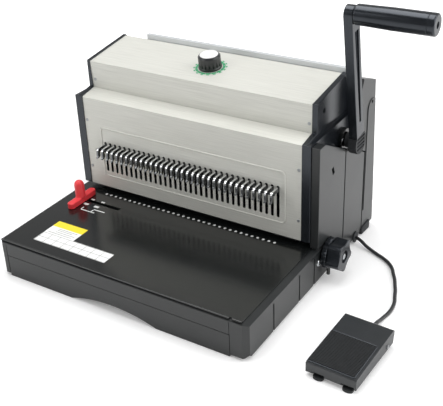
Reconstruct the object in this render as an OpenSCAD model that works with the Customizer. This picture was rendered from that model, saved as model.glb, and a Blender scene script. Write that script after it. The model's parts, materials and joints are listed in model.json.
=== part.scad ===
// Electric punch and wire binding machine with a closing lever and a foot pedal.
// X runs from left to right, Y from front to back, Z up, in millimetres.
// The work frame has its zero at the middle of the base's front foot line.

/* [Base] */
// Width of the base
base_w = 388; // [340:1:440]
// Rear face of the front part of the base, behind the work frame's zero
base_d = 216; // [200:1:240]
// How far the base's front stands ahead of the work frame's zero
base_front = 3; // [0:0.5:6]
// Offset of the base's middle to the right of the body's middle
base_shift = 1.5; // [0:0.5:6]
// Height of the base's deck above the surface it stands on
base_h = 52; // [46:1:60]
// Wall of the moulded base
base_wall = 3; // [2:0.5:5]
// Height of the rubber feet
foot_h = 4; // [3:0.5:6]
// Chamfer of the base's front corners
base_corner = 6.5; // [2:0.5:10]

/* [Paper table] */
// Thickness of the table sheet
table_t = 1.5; // [1:0.1:3]
// Bare strip of the base at the right of the table
table_margin = 8.5; // [6:0.5:14]
// Diameter of the hemmed front edge
hem_d = 3; // [2:0.2:4]

/* [Hook row] */
// Number of holes, hooks and punch pins in the row
hole_count = 34; // [20:1:34]
// Distance between neighbouring holes
hole_pitch = 8.467; // [8:0.001:8.6]
// Width of a slot in the hook panel
slot_w = 3.4; // [3:0.1:4]
// Thickness of a hook
hook_t = 2.2; // [1.6:0.1:2.6]
// Reach of a hook in front of the panel
hook_reach = 20; // [14:0.5:26]

/* [Body] */
// Width of the silver covers between the end plates
body_w = 346; // [330:1:360]
// Offset of the body's middle to the left of the work frame's zero
body_shift = 5; // [0:0.5:10]
// Front face of the hook panel
panel_y = 177; // [172:1:182]
// Height of the throat above the deck
throat_h = 10; // [8:0.5:14]
// Height of the hook panel's upper edge
panel_top = 199; // [190:1:210]
// Front face of the upper cover
upper_y = 204; // [198:1:210]
// Height of the upper cover's front edge
upper_front_z = 242.5; // [236:0.5:248]
// Height of the upper cover's rear edge
upper_rear_z = 254; // [250:0.5:258]
// Rear edge of the upper cover
upper_rear_y = 290; // [286:1:294]
// Sheet of the covers
sheet_t = 1.5; // [1:0.1:2]
// Depth of the whole machine
body_d = 359; // [350:1:372]
// Thickness of the end plates' lower part
plate_t = 12.5; // [10:0.5:14]
// Thickness of the end plates' upper part
plate_top_t = 7; // [5:0.5:9]
// Wall of the right side covers
cover_wall = 2.5; // [1.5:0.1:3]
// Width of the right side covers
cover_w = 11.5; // [10:0.5:14]

/* [Lever] */
// Distance of the lever's pivot behind the front
pivot_y = 270; // [266:0.5:274]
// Height of the lever's pivot
pivot_z = 172; // [168:0.5:176]
// Distance from the pivot to the grip's middle line
lever_l = 183; // [150:1:220]
// Forward lean of the lever at rest
lever_lean = 10.7; // [5:0.1:15]
// Full pull of the lever
lever_pull = 80; // [60:1:80]
// Thickness of the lever's arm
arm_t = 11.5; // [9:0.5:14]
// Width of the lever's arm
arm_w = 21.5; // [16:0.5:26]
// Diameter of the lever's hub
hub_d = 32; // [28:1:36]
// Diameter of the lever's shaft
shaft_d = 14; // [12:0.5:16]
// Diameter of the grip
grip_d = 27; // [22:1:32]
// Length of the grip with its cap
grip_l = 98; // [80:1:130]

/* [Drive] */
// Tooth size of the lever's pinions
pinion_module = 2; // [1.8:0.1:2.1]
// Teeth on each of the lever's pinions
pinion_teeth = 16; // [14:2:16]
// Side of a square punch pin
pin_side = 4; // [3:0.1:4.5]
// Stroke of the punch ram
punch_stroke = 8; // [7:0.5:9]
// Smallest radius of the punch cams
cam_r = 14; // [13.6:0.1:14.6]
// Diameter of the cam shaft
cam_shaft_d = 12; // [10:0.5:14]
// Teeth on the cam gear and on the drive gear
gear_teeth = 26; // [24:2:26]
// Tooth size of the cam gear
gear_module = 1; // [0.9:0.1:1]

/* [Controls] */
// Diameter of the size dial
dial_d = 32; // [26:1:36]
// Height of the size dial
dial_h = 19; // [14:1:24]
// Distance of the size dial behind the front
dial_y = 246; // [238:1:256]
// Diameter of the margin knob over its corners
knob_d = 45; // [38:1:50]
// Thickness of the margin knob
knob_t = 18; // [14:1:22]
// Length of the side stop's bar
stop_l = 56; // [44:1:64]
// Height of the side stop's post above the table
stop_h = 30; // [26:1:46]
// Diameter of the side stop's post
stop_d = 14.6; // [12:0.2:18]
// Way of the side stop along its slot
stop_travel = 58; // [40:1:60]
// Way of the chip drawer
drawer_travel = 150; // [100:5:160]

/* [Foot pedal] */
// Width of the pedal
pedal_w = 63; // [58:1:72]
// Length of the pedal
pedal_l = 106.5; // [98:0.5:114]
// Height of the pedal's rear edge
pedal_h = 24; // [22:0.5:30]
// Distance of the pedal's middle to the right of the base's middle
pedal_x = 291; // [286:1:310]
// Front of the pedal behind the base's front
pedal_y = 6.5; // [4:0.5:14]
// Turn of the pedal to the right, seen from above
pedal_turn = 2.6; // [0:0.1:10]
// Diameter of the pedal's cord
cord_d = 4.8; // [4:0.2:5.4]

/* [Hidden] */
$fn = 48;
// Running clearance of shafts and rods on the radius
run_gap = 0.05;
// Gap between sliding faces
slide_gap = 0.3;

// Middle of the body, sides and front of the base
body_x = -body_shift;
base_x0 = body_x + base_shift - base_w / 2;
base_x1 = body_x + base_shift + base_w / 2;
front_y = -base_front;

// Pedal's turning point, its pin and how far the pin's end reaches
pedal_mid_y = pedal_y + pedal_l / 2;
pedal_pin_y = pedal_y + pedal_l - 20;
pedal_pin_d = 5;
pedal_pin_end = 1;
pedal_reach = (pedal_w / 2 + pedal_pin_end) * cos(pedal_turn)
  + (pedal_pin_y - pedal_mid_y + pedal_pin_d / 2) * sin(pedal_turn);

// Middle of the box of the machine and its pedal, used to set the origin
mid_x = (base_x0 + pedal_x + pedal_reach) / 2;
mid_y = (front_y + body_d) / 2;

// Body levels and planes
left_x = body_x - body_w / 2;
right_x = body_x + body_w / 2;
cover_x0 = right_x + plate_t;
cover_x1 = cover_x0 + cover_w;
table_z = base_h + table_t;
panel_bottom = base_h + throat_h;
ledge_z = panel_top + 5;
upper_slope = atan((upper_rear_z - upper_front_z) / (upper_rear_y - upper_y));
floor_z = foot_h + 1.2;
plate_gap = 1;
panel_back = panel_y + sheet_t;

// Row of holes
row_w = (hole_count - 1) * hole_pitch;
row_x = [for (i = [0 : hole_count - 1]) body_x - row_w / 2 + i * hole_pitch];
row_l = row_x[0];
row_r = row_x[hole_count - 1];

// Side frames, inside the end plates
frame_t = 4;
frame_gap = 2;
frame_l0 = left_x + frame_gap;
frame_l1 = frame_l0 + frame_t;
frame_r1 = right_x - frame_gap;
frame_r0 = frame_r1 - frame_t;

// Slots and hooks
slot_top = 134.7;
slot_bottom = 88.5;
hook_arm_h = 5.5;
hook_top = slot_top - 2;
hook_tip_z = hook_top - 16.5;
hook_finger = 5;
hook_bar_y0 = panel_back + 1;
hook_bar_t = 6;
hook_bar_y1 = hook_bar_y0 + hook_bar_t;
hook_tip_y = panel_y - hook_reach;
tie_rod_d = 2;
tie_rod_y = hook_tip_y + hook_arm_h / 2 + 0.5;
tie_rod_z = hook_top - hook_arm_h / 2;

// Lever train: pinions on the shaft, a rack in front and a rack behind
pinion_r = pinion_module * pinion_teeth / 2;
rack_pitch = PI * pinion_module;
rack_tip = 0.8 * pinion_module;
rack_root = 1.25 * pinion_module;
lever_stroke = pinion_r * lever_pull * PI / 180;
pinion_w = 8;
rack_w = 6;
arm_x0 = cover_x1 + 2.5;
arm_x1 = arm_x0 + arm_t;
leg_room = 12;
hook_leg_l = row_l + leg_room;
hook_leg_r = row_r - leg_room;
jaw_leg_l = hook_leg_l + 14;
jaw_leg_r = hook_leg_r - 14;
leg_t = 5;

// Closer at the rear
jaw_t = 8;
jaw_y0 = pivot_y + pinion_r + rack_root + 0.5;
jaw_y1 = jaw_y0 + jaw_t;
jaw_top = 176;
jaw_h = 56;
jaw_over = 2.3;
jaw_l = row_l - jaw_over;
jaw_r = row_r + jaw_over;
rail_bottom = jaw_top + lever_stroke + 3;
rail_y0 = upper_rear_y + 1;
rail_t = 6;
rail_rise = 7;
rail_start = left_x + 36;

// Punch set
punch_y = panel_y + 25;
die_top = table_z;
die_h = 11.5;
paper_gap = 3.5;
stripper_bottom = die_top + paper_gap;
stripper_h = 9;
stripper_top = stripper_bottom + stripper_h;
ram_bottom = stripper_top + 20;
ram_h = 20;
ram_top = ram_bottom + ram_h;
ram_t = 12;
pin_gap = 0.15;
pin_tip = stripper_bottom + 1.5;
cam_clear = 0.45;
cam_z = ram_top + cam_r + cam_clear;
cam_w = 7;
gear_r = gear_module * gear_teeth / 2;
gear_w = 6;
gear_x = row_l + leg_room + 10;
drive_y = punch_y + 2 * gear_r;
pillar_d = 5;
pillar_top = ram_top - punch_stroke - 1;
pillar_room = 6;
pillar_l = row_l - pillar_room;
pillar_r = row_r + pillar_room;
die_room = 15.3;
die_x0 = row_l - die_room;
die_x1 = row_r + die_room;
die_foot_w = 11;

// Margin knob and back gauge
knob_y = punch_y + 3;
knob_z = 37;
knob_room = 8;
knob_x0 = max(base_x1, cover_x1) + knob_room;
knob_x1 = knob_x0 + knob_t;
knob_shaft_d = 8;
crank_r = 4.5;
crank_pin_d = 4;
gauge_h = 2.6;
gauge_lug_t = 4;
gauge_lug_x = die_x1 + 6;
gauge_turn = 25;

// Chip drawer and the front panel that pulls it
drawer_x0 = base_x0 + 13.6;
drawer_x1 = base_x1 - 24.1;
drawer_top = 32.5;
drawer_low = 0.4;
drawer_gap = 0.7;
tray_x0 = die_x0 + die_foot_w + 1;
tray_x1 = die_x1 - die_foot_w - 1;
tray_y0 = 18;
tray_y1 = base_d - base_wall - 5;
tray_z0 = floor_z + slide_gap;
tray_z1 = 31;
tray_wall = 2;
arch_w = 135;
arch_h = 11;
arch_r = (arch_w * arch_w / 4 + arch_h * arch_h) / (2 * arch_h);

// Side stop
stop_x = base_x0 + 30.5;
stop_y = 141;
stop_bar_y = stop_y - 4;
stop_post_y = stop_y - 5.5;
stop_pin_d = 5;
stop_slot_w = 6;
stop_bar_w = 11;
stop_bar_h = 8.5;

// Pedal
pedal_base_h = 11;
pedal_lift = 2;
pedal_pin_z = 11;
treadle_wall = 2.5;
treadle_front_h = 19.5;
pedal_front = pedal_y + 5;
pedal_rear = pedal_y + pedal_l;
relief_l = 9;

// Route of the pedal's cord from the machine to the pedal
cord_draft = [
  [194, 298, 9], [203, 294, 8], [213, 289, 5], [223, 285, 3], [233, 280, 2.5], [243, 275, 2.5],
  [253, 268, 2.5], [262, 258, 2.5], [268, 247, 2.5], [274, 236, 2.5], [279, 224, 2.5], [284, 212, 2.5],
  [288, 200, 2.5], [292, 188, 2.5], [294, 176, 2.5], [294, 164, 2.5], [292, 152, 2.5], [291, 142, 4],
  [291, 132, 7], [291, 122, 8]
];
cord_start = [cover_x1 + 2, pivot_y + 28];
cord_end = pedal_point(0, pedal_rear + relief_l);
cord_from = cord_draft[0];
cord_to = cord_draft[len(cord_draft) - 1];
cord_points = [
  for (p = cord_draft) [
    cord_start[0] + (p[0] - cord_from[0]) * (cord_end[0] - cord_start[0]) / (cord_to[0] - cord_from[0]),
    cord_start[1] + (p[1] - cord_from[1]) * (cord_end[1] - cord_start[1]) / (cord_to[1] - cord_from[1]),
    p[2]
  ]
];
cord_sides = 10;

// Rods, gearbox, rear fittings and other shared sizes
guide_d = 8;
guide_y = 227;
guide_low = 104;
guide_high = 200;
flange_t = 5;
flange_d = 30;
flange_bolt_r = 12.5;
cap_l = 9;
drive_shaft_d = 10;
box_x = gear_x + gear_w + 4;
box_w = 58;
motor_d = 62;
motor_l = 120;
motor_z = 100;
box_low = motor_z - 30;
crank_x = gauge_lug_x + gauge_lug_t + 1;
dial_spindle_d = 6;
stud_y = 184.5;
stud_z = 30.7;
inlet_w = 28;
inlet_h = 20;
switch_w = 19;
switch_h = 13;
rear_lean = 12;
rear_top = jaw_top - 24;
rear_low = floor_z + 0.1;
rear_tilt = atan(rear_lean / (rear_top - rear_low));
rocker_pin_d = 2.4;
rocker_pin_z = -3;
grommet_z = cord_points[0][2];
grommet_d = 12;
pressure = 20;

// Colours
c_black = "#2f3234";
c_table = "#3a3b3d";
c_silver = "#b9bbb5";
c_steel = "#a9adb0";
c_dark = "#26292c";
c_red = "#d8323c";
c_rubber = "#1c1d1f";

// Box between two corners
module block(a, b) {
  translate(a) cube(b - a);
}

// Outline in the Y Z plane, drawn out along X
module along_x(x0, x1) {
  translate([x0, 0, 0]) rotate([90, 0, 90]) linear_extrude(x1 - x0) children();
}

// Round bars along each axis
module bar_x(x0, x1, y, z, d) {
  translate([x0, y, z]) rotate([0, 90, 0]) cylinder(h = x1 - x0, d = d);
}
module bar_y(y0, y1, x, z, d) {
  translate([x, y0, z]) rotate([-90, 0, 0]) cylinder(h = y1 - y0, d = d);
}
module bar_z(z0, z1, x, y, d) {
  translate([x, y, z0]) cylinder(h = z1 - z0, d = d);
}

// Moves the work frame so that the origin lies under the middle of the whole part
module placed() {
  translate([-mid_x, -mid_y, 0]) children();
}

// Place of the pedal, turned about its middle
module at_pedal() {
  placed() translate([pedal_x, pedal_mid_y, 0]) rotate(-pedal_turn) translate([0, -pedal_mid_y, 0]) children();
}
function pedal_point(x, y) = [
  pedal_x + x * cos(pedal_turn) + (y - pedal_mid_y) * sin(pedal_turn),
  pedal_mid_y - x * sin(pedal_turn) + (y - pedal_mid_y) * cos(pedal_turn)
];

// Point where two lines, each given by a point and a direction, cross
function crossing(p, u, q, v) =
  let (k = ((q[0] - p[0]) * v[1] - (q[1] - p[1]) * v[0]) / (u[0] * v[1] - u[1] * v[0]))
  p + k * u;
function unit(v) = v / norm(v);
function left_of(v) = [-v[1], v[0]];

// Closed outline, drawn anticlockwise, moved inwards by t
function inset(p, t) = [
  for (i = [0 : len(p) - 1])
    let (
      a = p[(i + len(p) - 1) % len(p)], b = p[i], c = p[(i + 1) % len(p)],
      u = unit(b - a), v = unit(c - b)
    )
    crossing(b + t * left_of(u), u, b + t * left_of(v), v)
];

// Bent sheet: a run of points thickened to its left by t
function thicken(p, t) =
  let (
    n = len(p) - 1,
    inner = [
      for (i = [0 : n])
        let (u = unit(p[i] - p[max(i - 1, 0)] + (i == 0 ? p[1] - p[0] : [0, 0])),
             v = unit(p[min(i + 1, n)] - p[i] + (i == n ? p[n] - p[n - 1] : [0, 0])))
        norm(u - v) < 0.001 ? p[i] + t * left_of(u)
          : crossing(p[i] + t * left_of(u), u, p[i] + t * left_of(v), v)
    ]
  )
  concat(p, [for (i = [n : -1 : 0]) inner[i]]);

// Involute gear outline with its first tooth on the first axis
function roll(a) = tan(a) * 180 / PI - a;
function gear_points(m, n, backlash) =
  let (
    rp = m * n / 2, rb = rp * cos(pressure), ra = rp + 0.9 * m, rf = rp - 1.25 * m,
    half = 90 / n - backlash / rp * 90 / PI + roll(pressure),
    radii = [for (k = [0 : 4]) max(rb, rf) + (ra - max(rb, rf)) * k / 4]
  )
  [
    for (i = [0 : n - 1]) let (c = i * 360 / n)
      each concat(
        [[rf, c - half]],
        [for (r = radii) [r, c - half + roll(acos(min(1, rb / r)))]],
        [for (k = [4 : -1 : 0]) [radii[k], c + half - roll(acos(min(1, rb / radii[k])))]],
        [[rf, c + half]]
      )
  ];
module gear(m, n, backlash) {
  polygon([for (g = gear_points(m, n, backlash)) g[0] * [cos(g[1]), sin(g[1])]]);
}

// Rack teeth along the second axis, with a gap centred on zero and the tips towards the first axis
module rack_teeth(first, last, backlash) {
  half = rack_pitch / 4 - backlash / 2;
  for (i = [first : last]) {
    c = (i + 0.5) * rack_pitch;
    polygon([
      [-rack_root, c - half - rack_root * tan(pressure)],
      [rack_tip, c - half + rack_tip * tan(pressure)],
      [rack_tip, c + half - rack_tip * tan(pressure)],
      [-rack_root, c + half + rack_root * tan(pressure)]
    ]);
  }
}

// Rack bar: teeth with their back, in the Y Z plane, tips towards the rear
module rack_outline(first, last, back) {
  rack_teeth(first, last, 0.3);
  translate([-rack_root - back, (first - 0.2) * rack_pitch])
    square([back + 0.01, (last - first + 1.4) * rack_pitch]);
}

// Moulded base under the paper table, open below and at the drawer's place
module base_shell() {
  outline = [[base_x0 + base_corner, front_y], [base_x1 - base_corner, front_y], [base_x1, front_y + base_corner],
    [base_x1, base_d], [base_x0, base_d], [base_x0, front_y + base_corner]];
  bevel = table_margin - 2;
  color(c_black) placed() difference() {
    translate([0, 0, foot_h]) linear_extrude(base_h - foot_h) polygon(outline);
    translate([0, 0, foot_h - 1]) linear_extrude(base_h - base_wall - foot_h + 1)
      polygon(inset(outline, base_wall));
    // Opening for the drawer's front
    block([drawer_x0 - drawer_gap, front_y - 1, 0],
      [drawer_x1 + drawer_gap, front_y + base_wall + 1, drawer_top + drawer_gap]);
    // Upright joint lines above the drawer's ends
    for (x = [drawer_x0, drawer_x1])
      block([x - 0.4, front_y - 1, drawer_top], [x + 0.4, front_y + 0.7, base_h - 1]);
    // Seat of the die and slot of the side stop
    block([die_x0 - 1, panel_y + 9, base_h - base_wall - 1], [gauge_lug_x + 8, base_d - base_wall, base_h + 1]);
    block([stop_x - 8, stop_y - stop_slot_w / 2 - 1, base_h - base_wall - 1],
      [stop_x + stop_travel + 8, stop_y + stop_slot_w / 2 + 1, base_h + 1]);
    // Bevel along the right edge
    translate([0, front_y - 1, 0]) rotate([-90, 0, 0]) linear_extrude(base_d - front_y + 2)
      polygon([[base_x1 - bevel, -base_h - 0.01], [base_x1 + 1, -base_h - 0.01], [base_x1 + 1, -base_h + 3.4]]);
    // Joint lines in the side walls
    for (y = [61, 129, 171]) for (x = [base_x0, base_x1])
      translate([x, y, foot_h]) cube([1.6, 1.4, 2 * (base_h - 8 - foot_h)], center = true);
    // Bearing hole of the margin knob
    bar_x(base_x1 - base_wall - 1, base_x1 + 1, knob_y, knob_z, knob_shaft_d + 2 * run_gap);
    // Way of the bottom sheet under the rear wall
    block([base_x0 + base_wall, base_d - base_wall - 1, 0], [base_x1 - base_wall, base_d + 1, floor_z]);
    // Cut under the front corners
    for (s = [[base_x0, 1], [base_x1, -1]])
      translate([0, front_y - 1, 0]) rotate([-90, 0, 0]) linear_extrude(base_corner + 4)
        polygon([[s[0] + 10 * s[1], 0], [s[0] - s[1], 0], [s[0] - s[1], -foot_h - 4]]);
  }
}

// Steel sheet that closes the machine below
module bottom_sheet() {
  color(c_steel) placed() {
    block([base_x0 + base_wall, tray_y0 + 4, foot_h], [base_x1 - base_wall, base_d, floor_z]);
    block([left_x - plate_t, base_d, foot_h], [cover_x1 - cover_wall, body_d - 3, floor_z]);
  }
}

// Rubber feet under the machine and under the pedal
module rubber_feet() {
  l = base_x0 + 20;
  r = base_x1 - 20;
  color(c_rubber) placed()
    for (p = [[l, 32], [r, 32], [l, base_d - 16], [r, base_d - 16], [l, body_d - 22], [r - 8, body_d - 22]])
      bar_z(0, foot_h, p[0], p[1], 22);
  color(c_rubber) at_pedal() {
    for (s = [-1, 1]) difference() {
      bar_z(0, 6, s * 21, pedal_front + 2, 13);
      block([s * 21 - 8, pedal_front + 4, pedal_lift], [s * 21 + 8, pedal_front + 20, 20]);
    }
    for (s = [-1, 1]) bar_z(0, pedal_lift, s * (pedal_w / 2 - 14), pedal_rear - 14, 12);
  }
}

// Paper table: a steel sheet with a hemmed front edge and the side stop's slot
module paper_table() {
  x0 = base_x0 + 3;
  x1 = base_x1 - table_margin;
  notch = 4;
  color(c_table) placed() difference() {
    union() {
      block([x0, front_y + 4, base_h], [x1, panel_y + 9, table_z]);
      bar_x(x0, x1, front_y + 4, base_h + hem_d / 2, hem_d);
    }
    block([x1 - 17, front_y + 1, base_h - 1], [x1 - 17 + notch, front_y + 6.5, base_h + hem_d + 1]);
    block([stop_x - 8, stop_y - stop_slot_w / 2, base_h - 1],
      [stop_x + stop_travel + 8, stop_y + stop_slot_w / 2, table_z + 1]);
  }
}

// Outline of the end plates and of the profile that the covers follow
plate_outline = [
  [base_d + plate_gap, floor_z], [body_d - 1, floor_z], [body_d - 14, upper_front_z - 12.5],
  [upper_rear_y + 13, upper_front_z + 2.5],
  [upper_rear_y + 1, upper_rear_z + 1.5], [upper_y - 1, upper_front_z + 1.5], [upper_y - 1, ledge_z + 1],
  [panel_y - 1, panel_top + 1], [panel_y - 1, panel_bottom], [base_d + plate_gap, panel_bottom]
];

// End plate, thick below the ledge and thin above it; side is -1 at the left and 1 at the right
module end_plate(side) {
  x_in = side < 0 ? left_x : right_x;
  x_low = x_in + side * plate_t;
  x_top = x_in + side * plate_top_t;
  difference() {
    along_x(min(x_in, x_low), max(x_in, x_low)) polygon(plate_outline);
    block([min(x_top, x_low + side), panel_y - 5, panel_top + 1],
      [max(x_top, x_low + side), upper_rear_y + 13, upper_rear_z + 46]);
    // Hole of the lever's shaft, at the right only
    if (side > 0) bar_x(x_in - 1, x_low + 1, pivot_y, pivot_z, shaft_d + 6);
    // Screw hole in the upper part
    bar_x(min(x_in, x_low) - 1, max(x_in, x_low) + 1, upper_y + 20, upper_front_z - 14, 7);
  }
}
module left_end_plate() { color(c_black) placed() end_plate(-1); }
module right_end_plate() { color(c_black) placed() end_plate(1); }

// Silver lower panel with a slot for each hook, and the ledge above it
module hook_panel() {
  color(c_silver) placed() difference() {
    along_x(left_x, right_x) polygon(thicken([
      [upper_y - slide_gap, ledge_z], [panel_y, panel_top], [panel_y, panel_bottom], [panel_y + 8, panel_bottom]
    ], sheet_t));
    difference() {
      block([row_x[0] - 6, panel_y - 1, slot_bottom - 8], [row_x[hole_count - 1] + 6, panel_y + 0.4, slot_top + 22]);
      block([row_x[0] - 4.8, panel_y - 2, slot_bottom - 6.8], [row_x[hole_count - 1] + 4.8, panel_y + 1, slot_top + 20.8]);
    }
    for (x = row_x) {
      block([x - slot_w / 2, panel_y - 1, slot_bottom + slot_w / 2],
        [x + slot_w / 2, panel_back + 1, slot_top - slot_w / 2]);
      bar_y(panel_y - 1, panel_back + 1, x, slot_bottom + slot_w / 2, slot_w);
      bar_y(panel_y - 1, panel_back + 1, x, slot_top - slot_w / 2, slot_w);
    }
  }
}

// Silver upper cover: the upright above the ledge and the sloping top
module top_cover() {
  top_mid = upper_front_z + (dial_y - upper_y) * tan(upper_slope);
  color(c_silver) placed() difference() {
    along_x(left_x, right_x) polygon(thicken([
      [upper_rear_y, upper_rear_z - 12], [upper_rear_y, upper_rear_z], [upper_y, upper_front_z],
      [upper_y, ledge_z - 6]
    ], sheet_t));
    translate([body_x, dial_y, top_mid]) rotate([upper_slope, 0, 0])
      cylinder(h = 20, d = 9, center = true);
  }
}

// Covers over the lever train at the right, seen from the side
cover_joint = 0.5;
cover_split = base_d + 40;
cover_split_rear = body_d - 39;
cover_c_slope = 12 / 22.5;
cover_c_y = pivot_y + 28;
cover_c_z = pivot_z - 38 + (cover_split_rear + cover_joint - cover_c_y) * cover_c_slope;
cover_a = [
  [base_d + 1, floor_z + 2], [cover_split - cover_joint, floor_z + 2], [cover_split - cover_joint, pivot_z - 6],
  [panel_y + 17, panel_top - 1], [panel_y + 1, panel_top - 1], [panel_y + 1, table_z + 1], [base_d + 1, table_z + 1]
];
cover_b = [
  [cover_split + cover_joint, floor_z + 2], [cover_split_rear - cover_joint, floor_z + 2],
  [cover_split_rear - cover_joint, pivot_z - 38.5], [cover_split + cover_joint, pivot_z - 6.5]
];
cover_c = [
  [cover_split_rear + cover_joint, floor_z + 2], [body_d - 0.5, floor_z + 2], [body_d, floor_z + 8],
  [body_d - 13, upper_front_z - 12.5], [pivot_y + 36, upper_front_z + 1.5], [cover_c_y, upper_front_z - 17.5],
  [cover_c_y, cover_c_z], [cover_split_rear + cover_joint, pivot_z - 38]
];
module side_cover(outline) {
  difference() {
    along_x(cover_x0, cover_x1) polygon(outline);
    along_x(cover_x0 - 1, cover_x1 - cover_wall) polygon(inset(outline, cover_wall));
    // Hole of the cord's grommet
    bar_x(cover_x1 - 2 * cover_wall, cover_x1 + 1, cord_points[0][1], grommet_z, grommet_d);
    children();
  }
}
module side_cover_front() {
  color(c_black) placed() side_cover(cover_a) {
    // Screw slot
    translate([cover_x1, 218, 151]) rotate([20, 0, 0]) cube([8, 3, 10], center = true);
  }
}
module side_cover_middle() {
  color(c_black) placed() side_cover(cover_b);
}
module side_cover_rear() {
  color(c_black) placed() difference() {
    union() {
      side_cover(cover_c);
      // Raised plate with a round head
      along_x(cover_x1, cover_x1 + 1) intersection() {
        union() {
          translate([body_d - 36, 40]) square([40, 152]);
          translate([body_d - 22, 192]) circle(r = 14);
        }
        polygon(inset(cover_c, 1.5));
      }
    }
    bar_x(cover_x1 - 4, cover_x1 + 3, body_d - 23.5, 202, 5);
  }
}

// Sheet behind the closer and down to the floor plate
module rear_cover() {
  color(c_black) placed() difference() {
    along_x(left_x, right_x) polygon(thicken([
      [jaw_y1 + 2, jaw_top - 4], [body_d - 3 - rear_lean, rear_top], [body_d - 3, rear_low]
    ], -sheet_t));
    inlet_place() translate([0, 0, -10]) block([-inlet_w / 2, -inlet_h / 2, 0], [inlet_w / 2, inlet_h / 2, 20]);
    switch_place() translate([0, 0, -10]) block([-switch_w / 2, -switch_h / 2, 0], [switch_w / 2, switch_h / 2, 20]);
  }
}
// Places on the rear sheet, with the third axis pointing out of it
module rear_place(x, z) {
  y = body_d - 3 - (z - rear_low) * tan(rear_tilt);
  translate([x, y, z]) rotate([90 - rear_tilt, 0, 180]) children();
}
module inlet_place() { rear_place(right_x - 50, 40) children(); }
module switch_place() { rear_place(right_x - 50, 72) children(); }

// Steel side frames that carry the shafts
module side_frames() {
  outline = [
    [base_d + 4, floor_z], [jaw_y1 + 3, floor_z], [jaw_y1 + 1, jaw_top - 10], [rail_y0 + rail_t, rail_bottom],
    [rail_y0 + rail_t, upper_rear_z - 14], [upper_y + 8, upper_front_z - 4.5], [upper_y + 8, panel_top - 7],
    [panel_y + 6, panel_top - 15], [panel_y + 6, stripper_top], [base_d + 4, stripper_top]
  ];
  color(c_steel) placed() for (x = [[frame_l0, frame_l1], [frame_r0, frame_r1]]) difference() {
    along_x(x[0], x[1]) polygon(outline);
    bar_x(x[0] - 1, x[1] + 1, pivot_y, pivot_z, shaft_d + 6);
    bar_x(x[0] - 1, x[1] + 1, punch_y, cam_z, cam_shaft_d + 6);
  }
}

// Bushes of the lever's shaft, of the cam shaft and of the dial
module shaft_bushes() {
  color("#b08d4f") placed() {
    for (x = [[frame_l0, frame_l1], [frame_r0, frame_r1], [right_x, cover_x0]]) difference() {
      bar_x(x[0], x[1], pivot_y, pivot_z, shaft_d + 6);
      bar_x(x[0] - 1, x[1] + 1, pivot_y, pivot_z, shaft_d + 2 * run_gap);
    }
    for (x = [[frame_l0, frame_l1], [frame_r0, frame_r1]]) difference() {
      bar_x(x[0], x[1], punch_y, cam_z, cam_shaft_d + 6);
      bar_x(x[0] - 1, x[1] + 1, punch_y, cam_z, cam_shaft_d + 2 * run_gap);
    }
    dial_frame() difference() {
      union() {
        translate([0, 0, -sheet_t - 8]) cylinder(h = 8, d = 16);
        translate([0, 0, -sheet_t]) cylinder(h = sheet_t, d = 9);
      }
      translate([0, 0, -20]) cylinder(h = 30, d = dial_spindle_d + 2 * run_gap);
    }
  }
}

// Bearing flange of the lever in the pocket of the right side
module bearing_flange() {
  color(c_dark) placed() difference() {
    bar_x(cover_x0, cover_x0 + flange_t, pivot_y, pivot_z, flange_d);
    bar_x(cover_x0 - 1, cover_x0 + flange_t + 1, pivot_y, pivot_z, shaft_d + 1);
    along_x(cover_x0 - 1, cover_x0 + flange_t + 1) {
      polygon(cover_a);
      polygon(cover_b);
      polygon(cover_c);
      translate([cover_split - 1, 0]) square([2, pivot_z - 6]);
    }
  }
}

// Upper jaw of the closer, whose top edge stands above the cover
module closer_rail() {
  color("#c4c7ca") placed() difference() {
    union() {
      block([frame_l1, rail_y0, rail_bottom], [frame_r0, rail_y0 + rail_t, upper_rear_z + rail_rise]);
      block([frame_r0 - 1, rail_y0, upper_rear_z + 3],
        [right_x + plate_top_t, rail_y0 + rail_t, upper_rear_z + rail_rise]);
    }
    block([frame_l1 - 1, rail_y0 - 1, upper_rear_z - 8], [rail_start, rail_y0 + rail_t + 1, upper_rear_z + 46]);
  }
}

// Lower jaw of the closer with its two racks
module closer_jaw() {
  first = -ceil((lever_stroke + 6) / rack_pitch);
  color(c_steel) placed() {
    block([jaw_l, jaw_y0, jaw_top - jaw_h], [jaw_r, jaw_y1, jaw_top]);
    for (x = [jaw_leg_l, jaw_leg_r]) along_x(x - rack_w / 2, x + rack_w / 2)
      translate([pivot_y + pinion_r, pivot_z]) mirror([1, 0]) rack_outline(first, 0, 1);
  }
}

// Hook bar with a leg and a rack at each end
module hook_bar() {
  low = 120;
  arm_z = 151;
  arm_h = 16;
  back = pivot_y - pinion_r - rack_root;
  last = ceil((lever_stroke + 6) / rack_pitch);
  color(c_steel) placed() {
    block([row_l - 1.2, hook_bar_y0, low], [row_r + 1.2, hook_bar_y1, hook_top + 6]);
    for (x = [hook_leg_l, hook_leg_r]) {
      difference() {
        union() {
          along_x(x - leg_t / 2, x + leg_t / 2) polygon([
            [hook_bar_y0, low], [hook_bar_y1, low], [hook_bar_y1 + 4, arm_z], [back - 2, arm_z],
            [back - 2, arm_z + arm_h], [hook_bar_y0, arm_z + arm_h]
          ]);
          bar_z(arm_z, arm_z + arm_h, x, guide_y, guide_d + 8);
        }
        bar_z(arm_z - 1, arm_z + arm_h + 1, x, guide_y, guide_d + 2 * run_gap);
      }
      along_x(x - rack_w / 2, x + rack_w / 2) {
        translate([pivot_y - pinion_r, pivot_z]) rack_outline(-1, last, 3);
        translate([back - 4, arm_z]) square([4, arm_h + 20]);
      }
    }
  }
}

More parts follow.
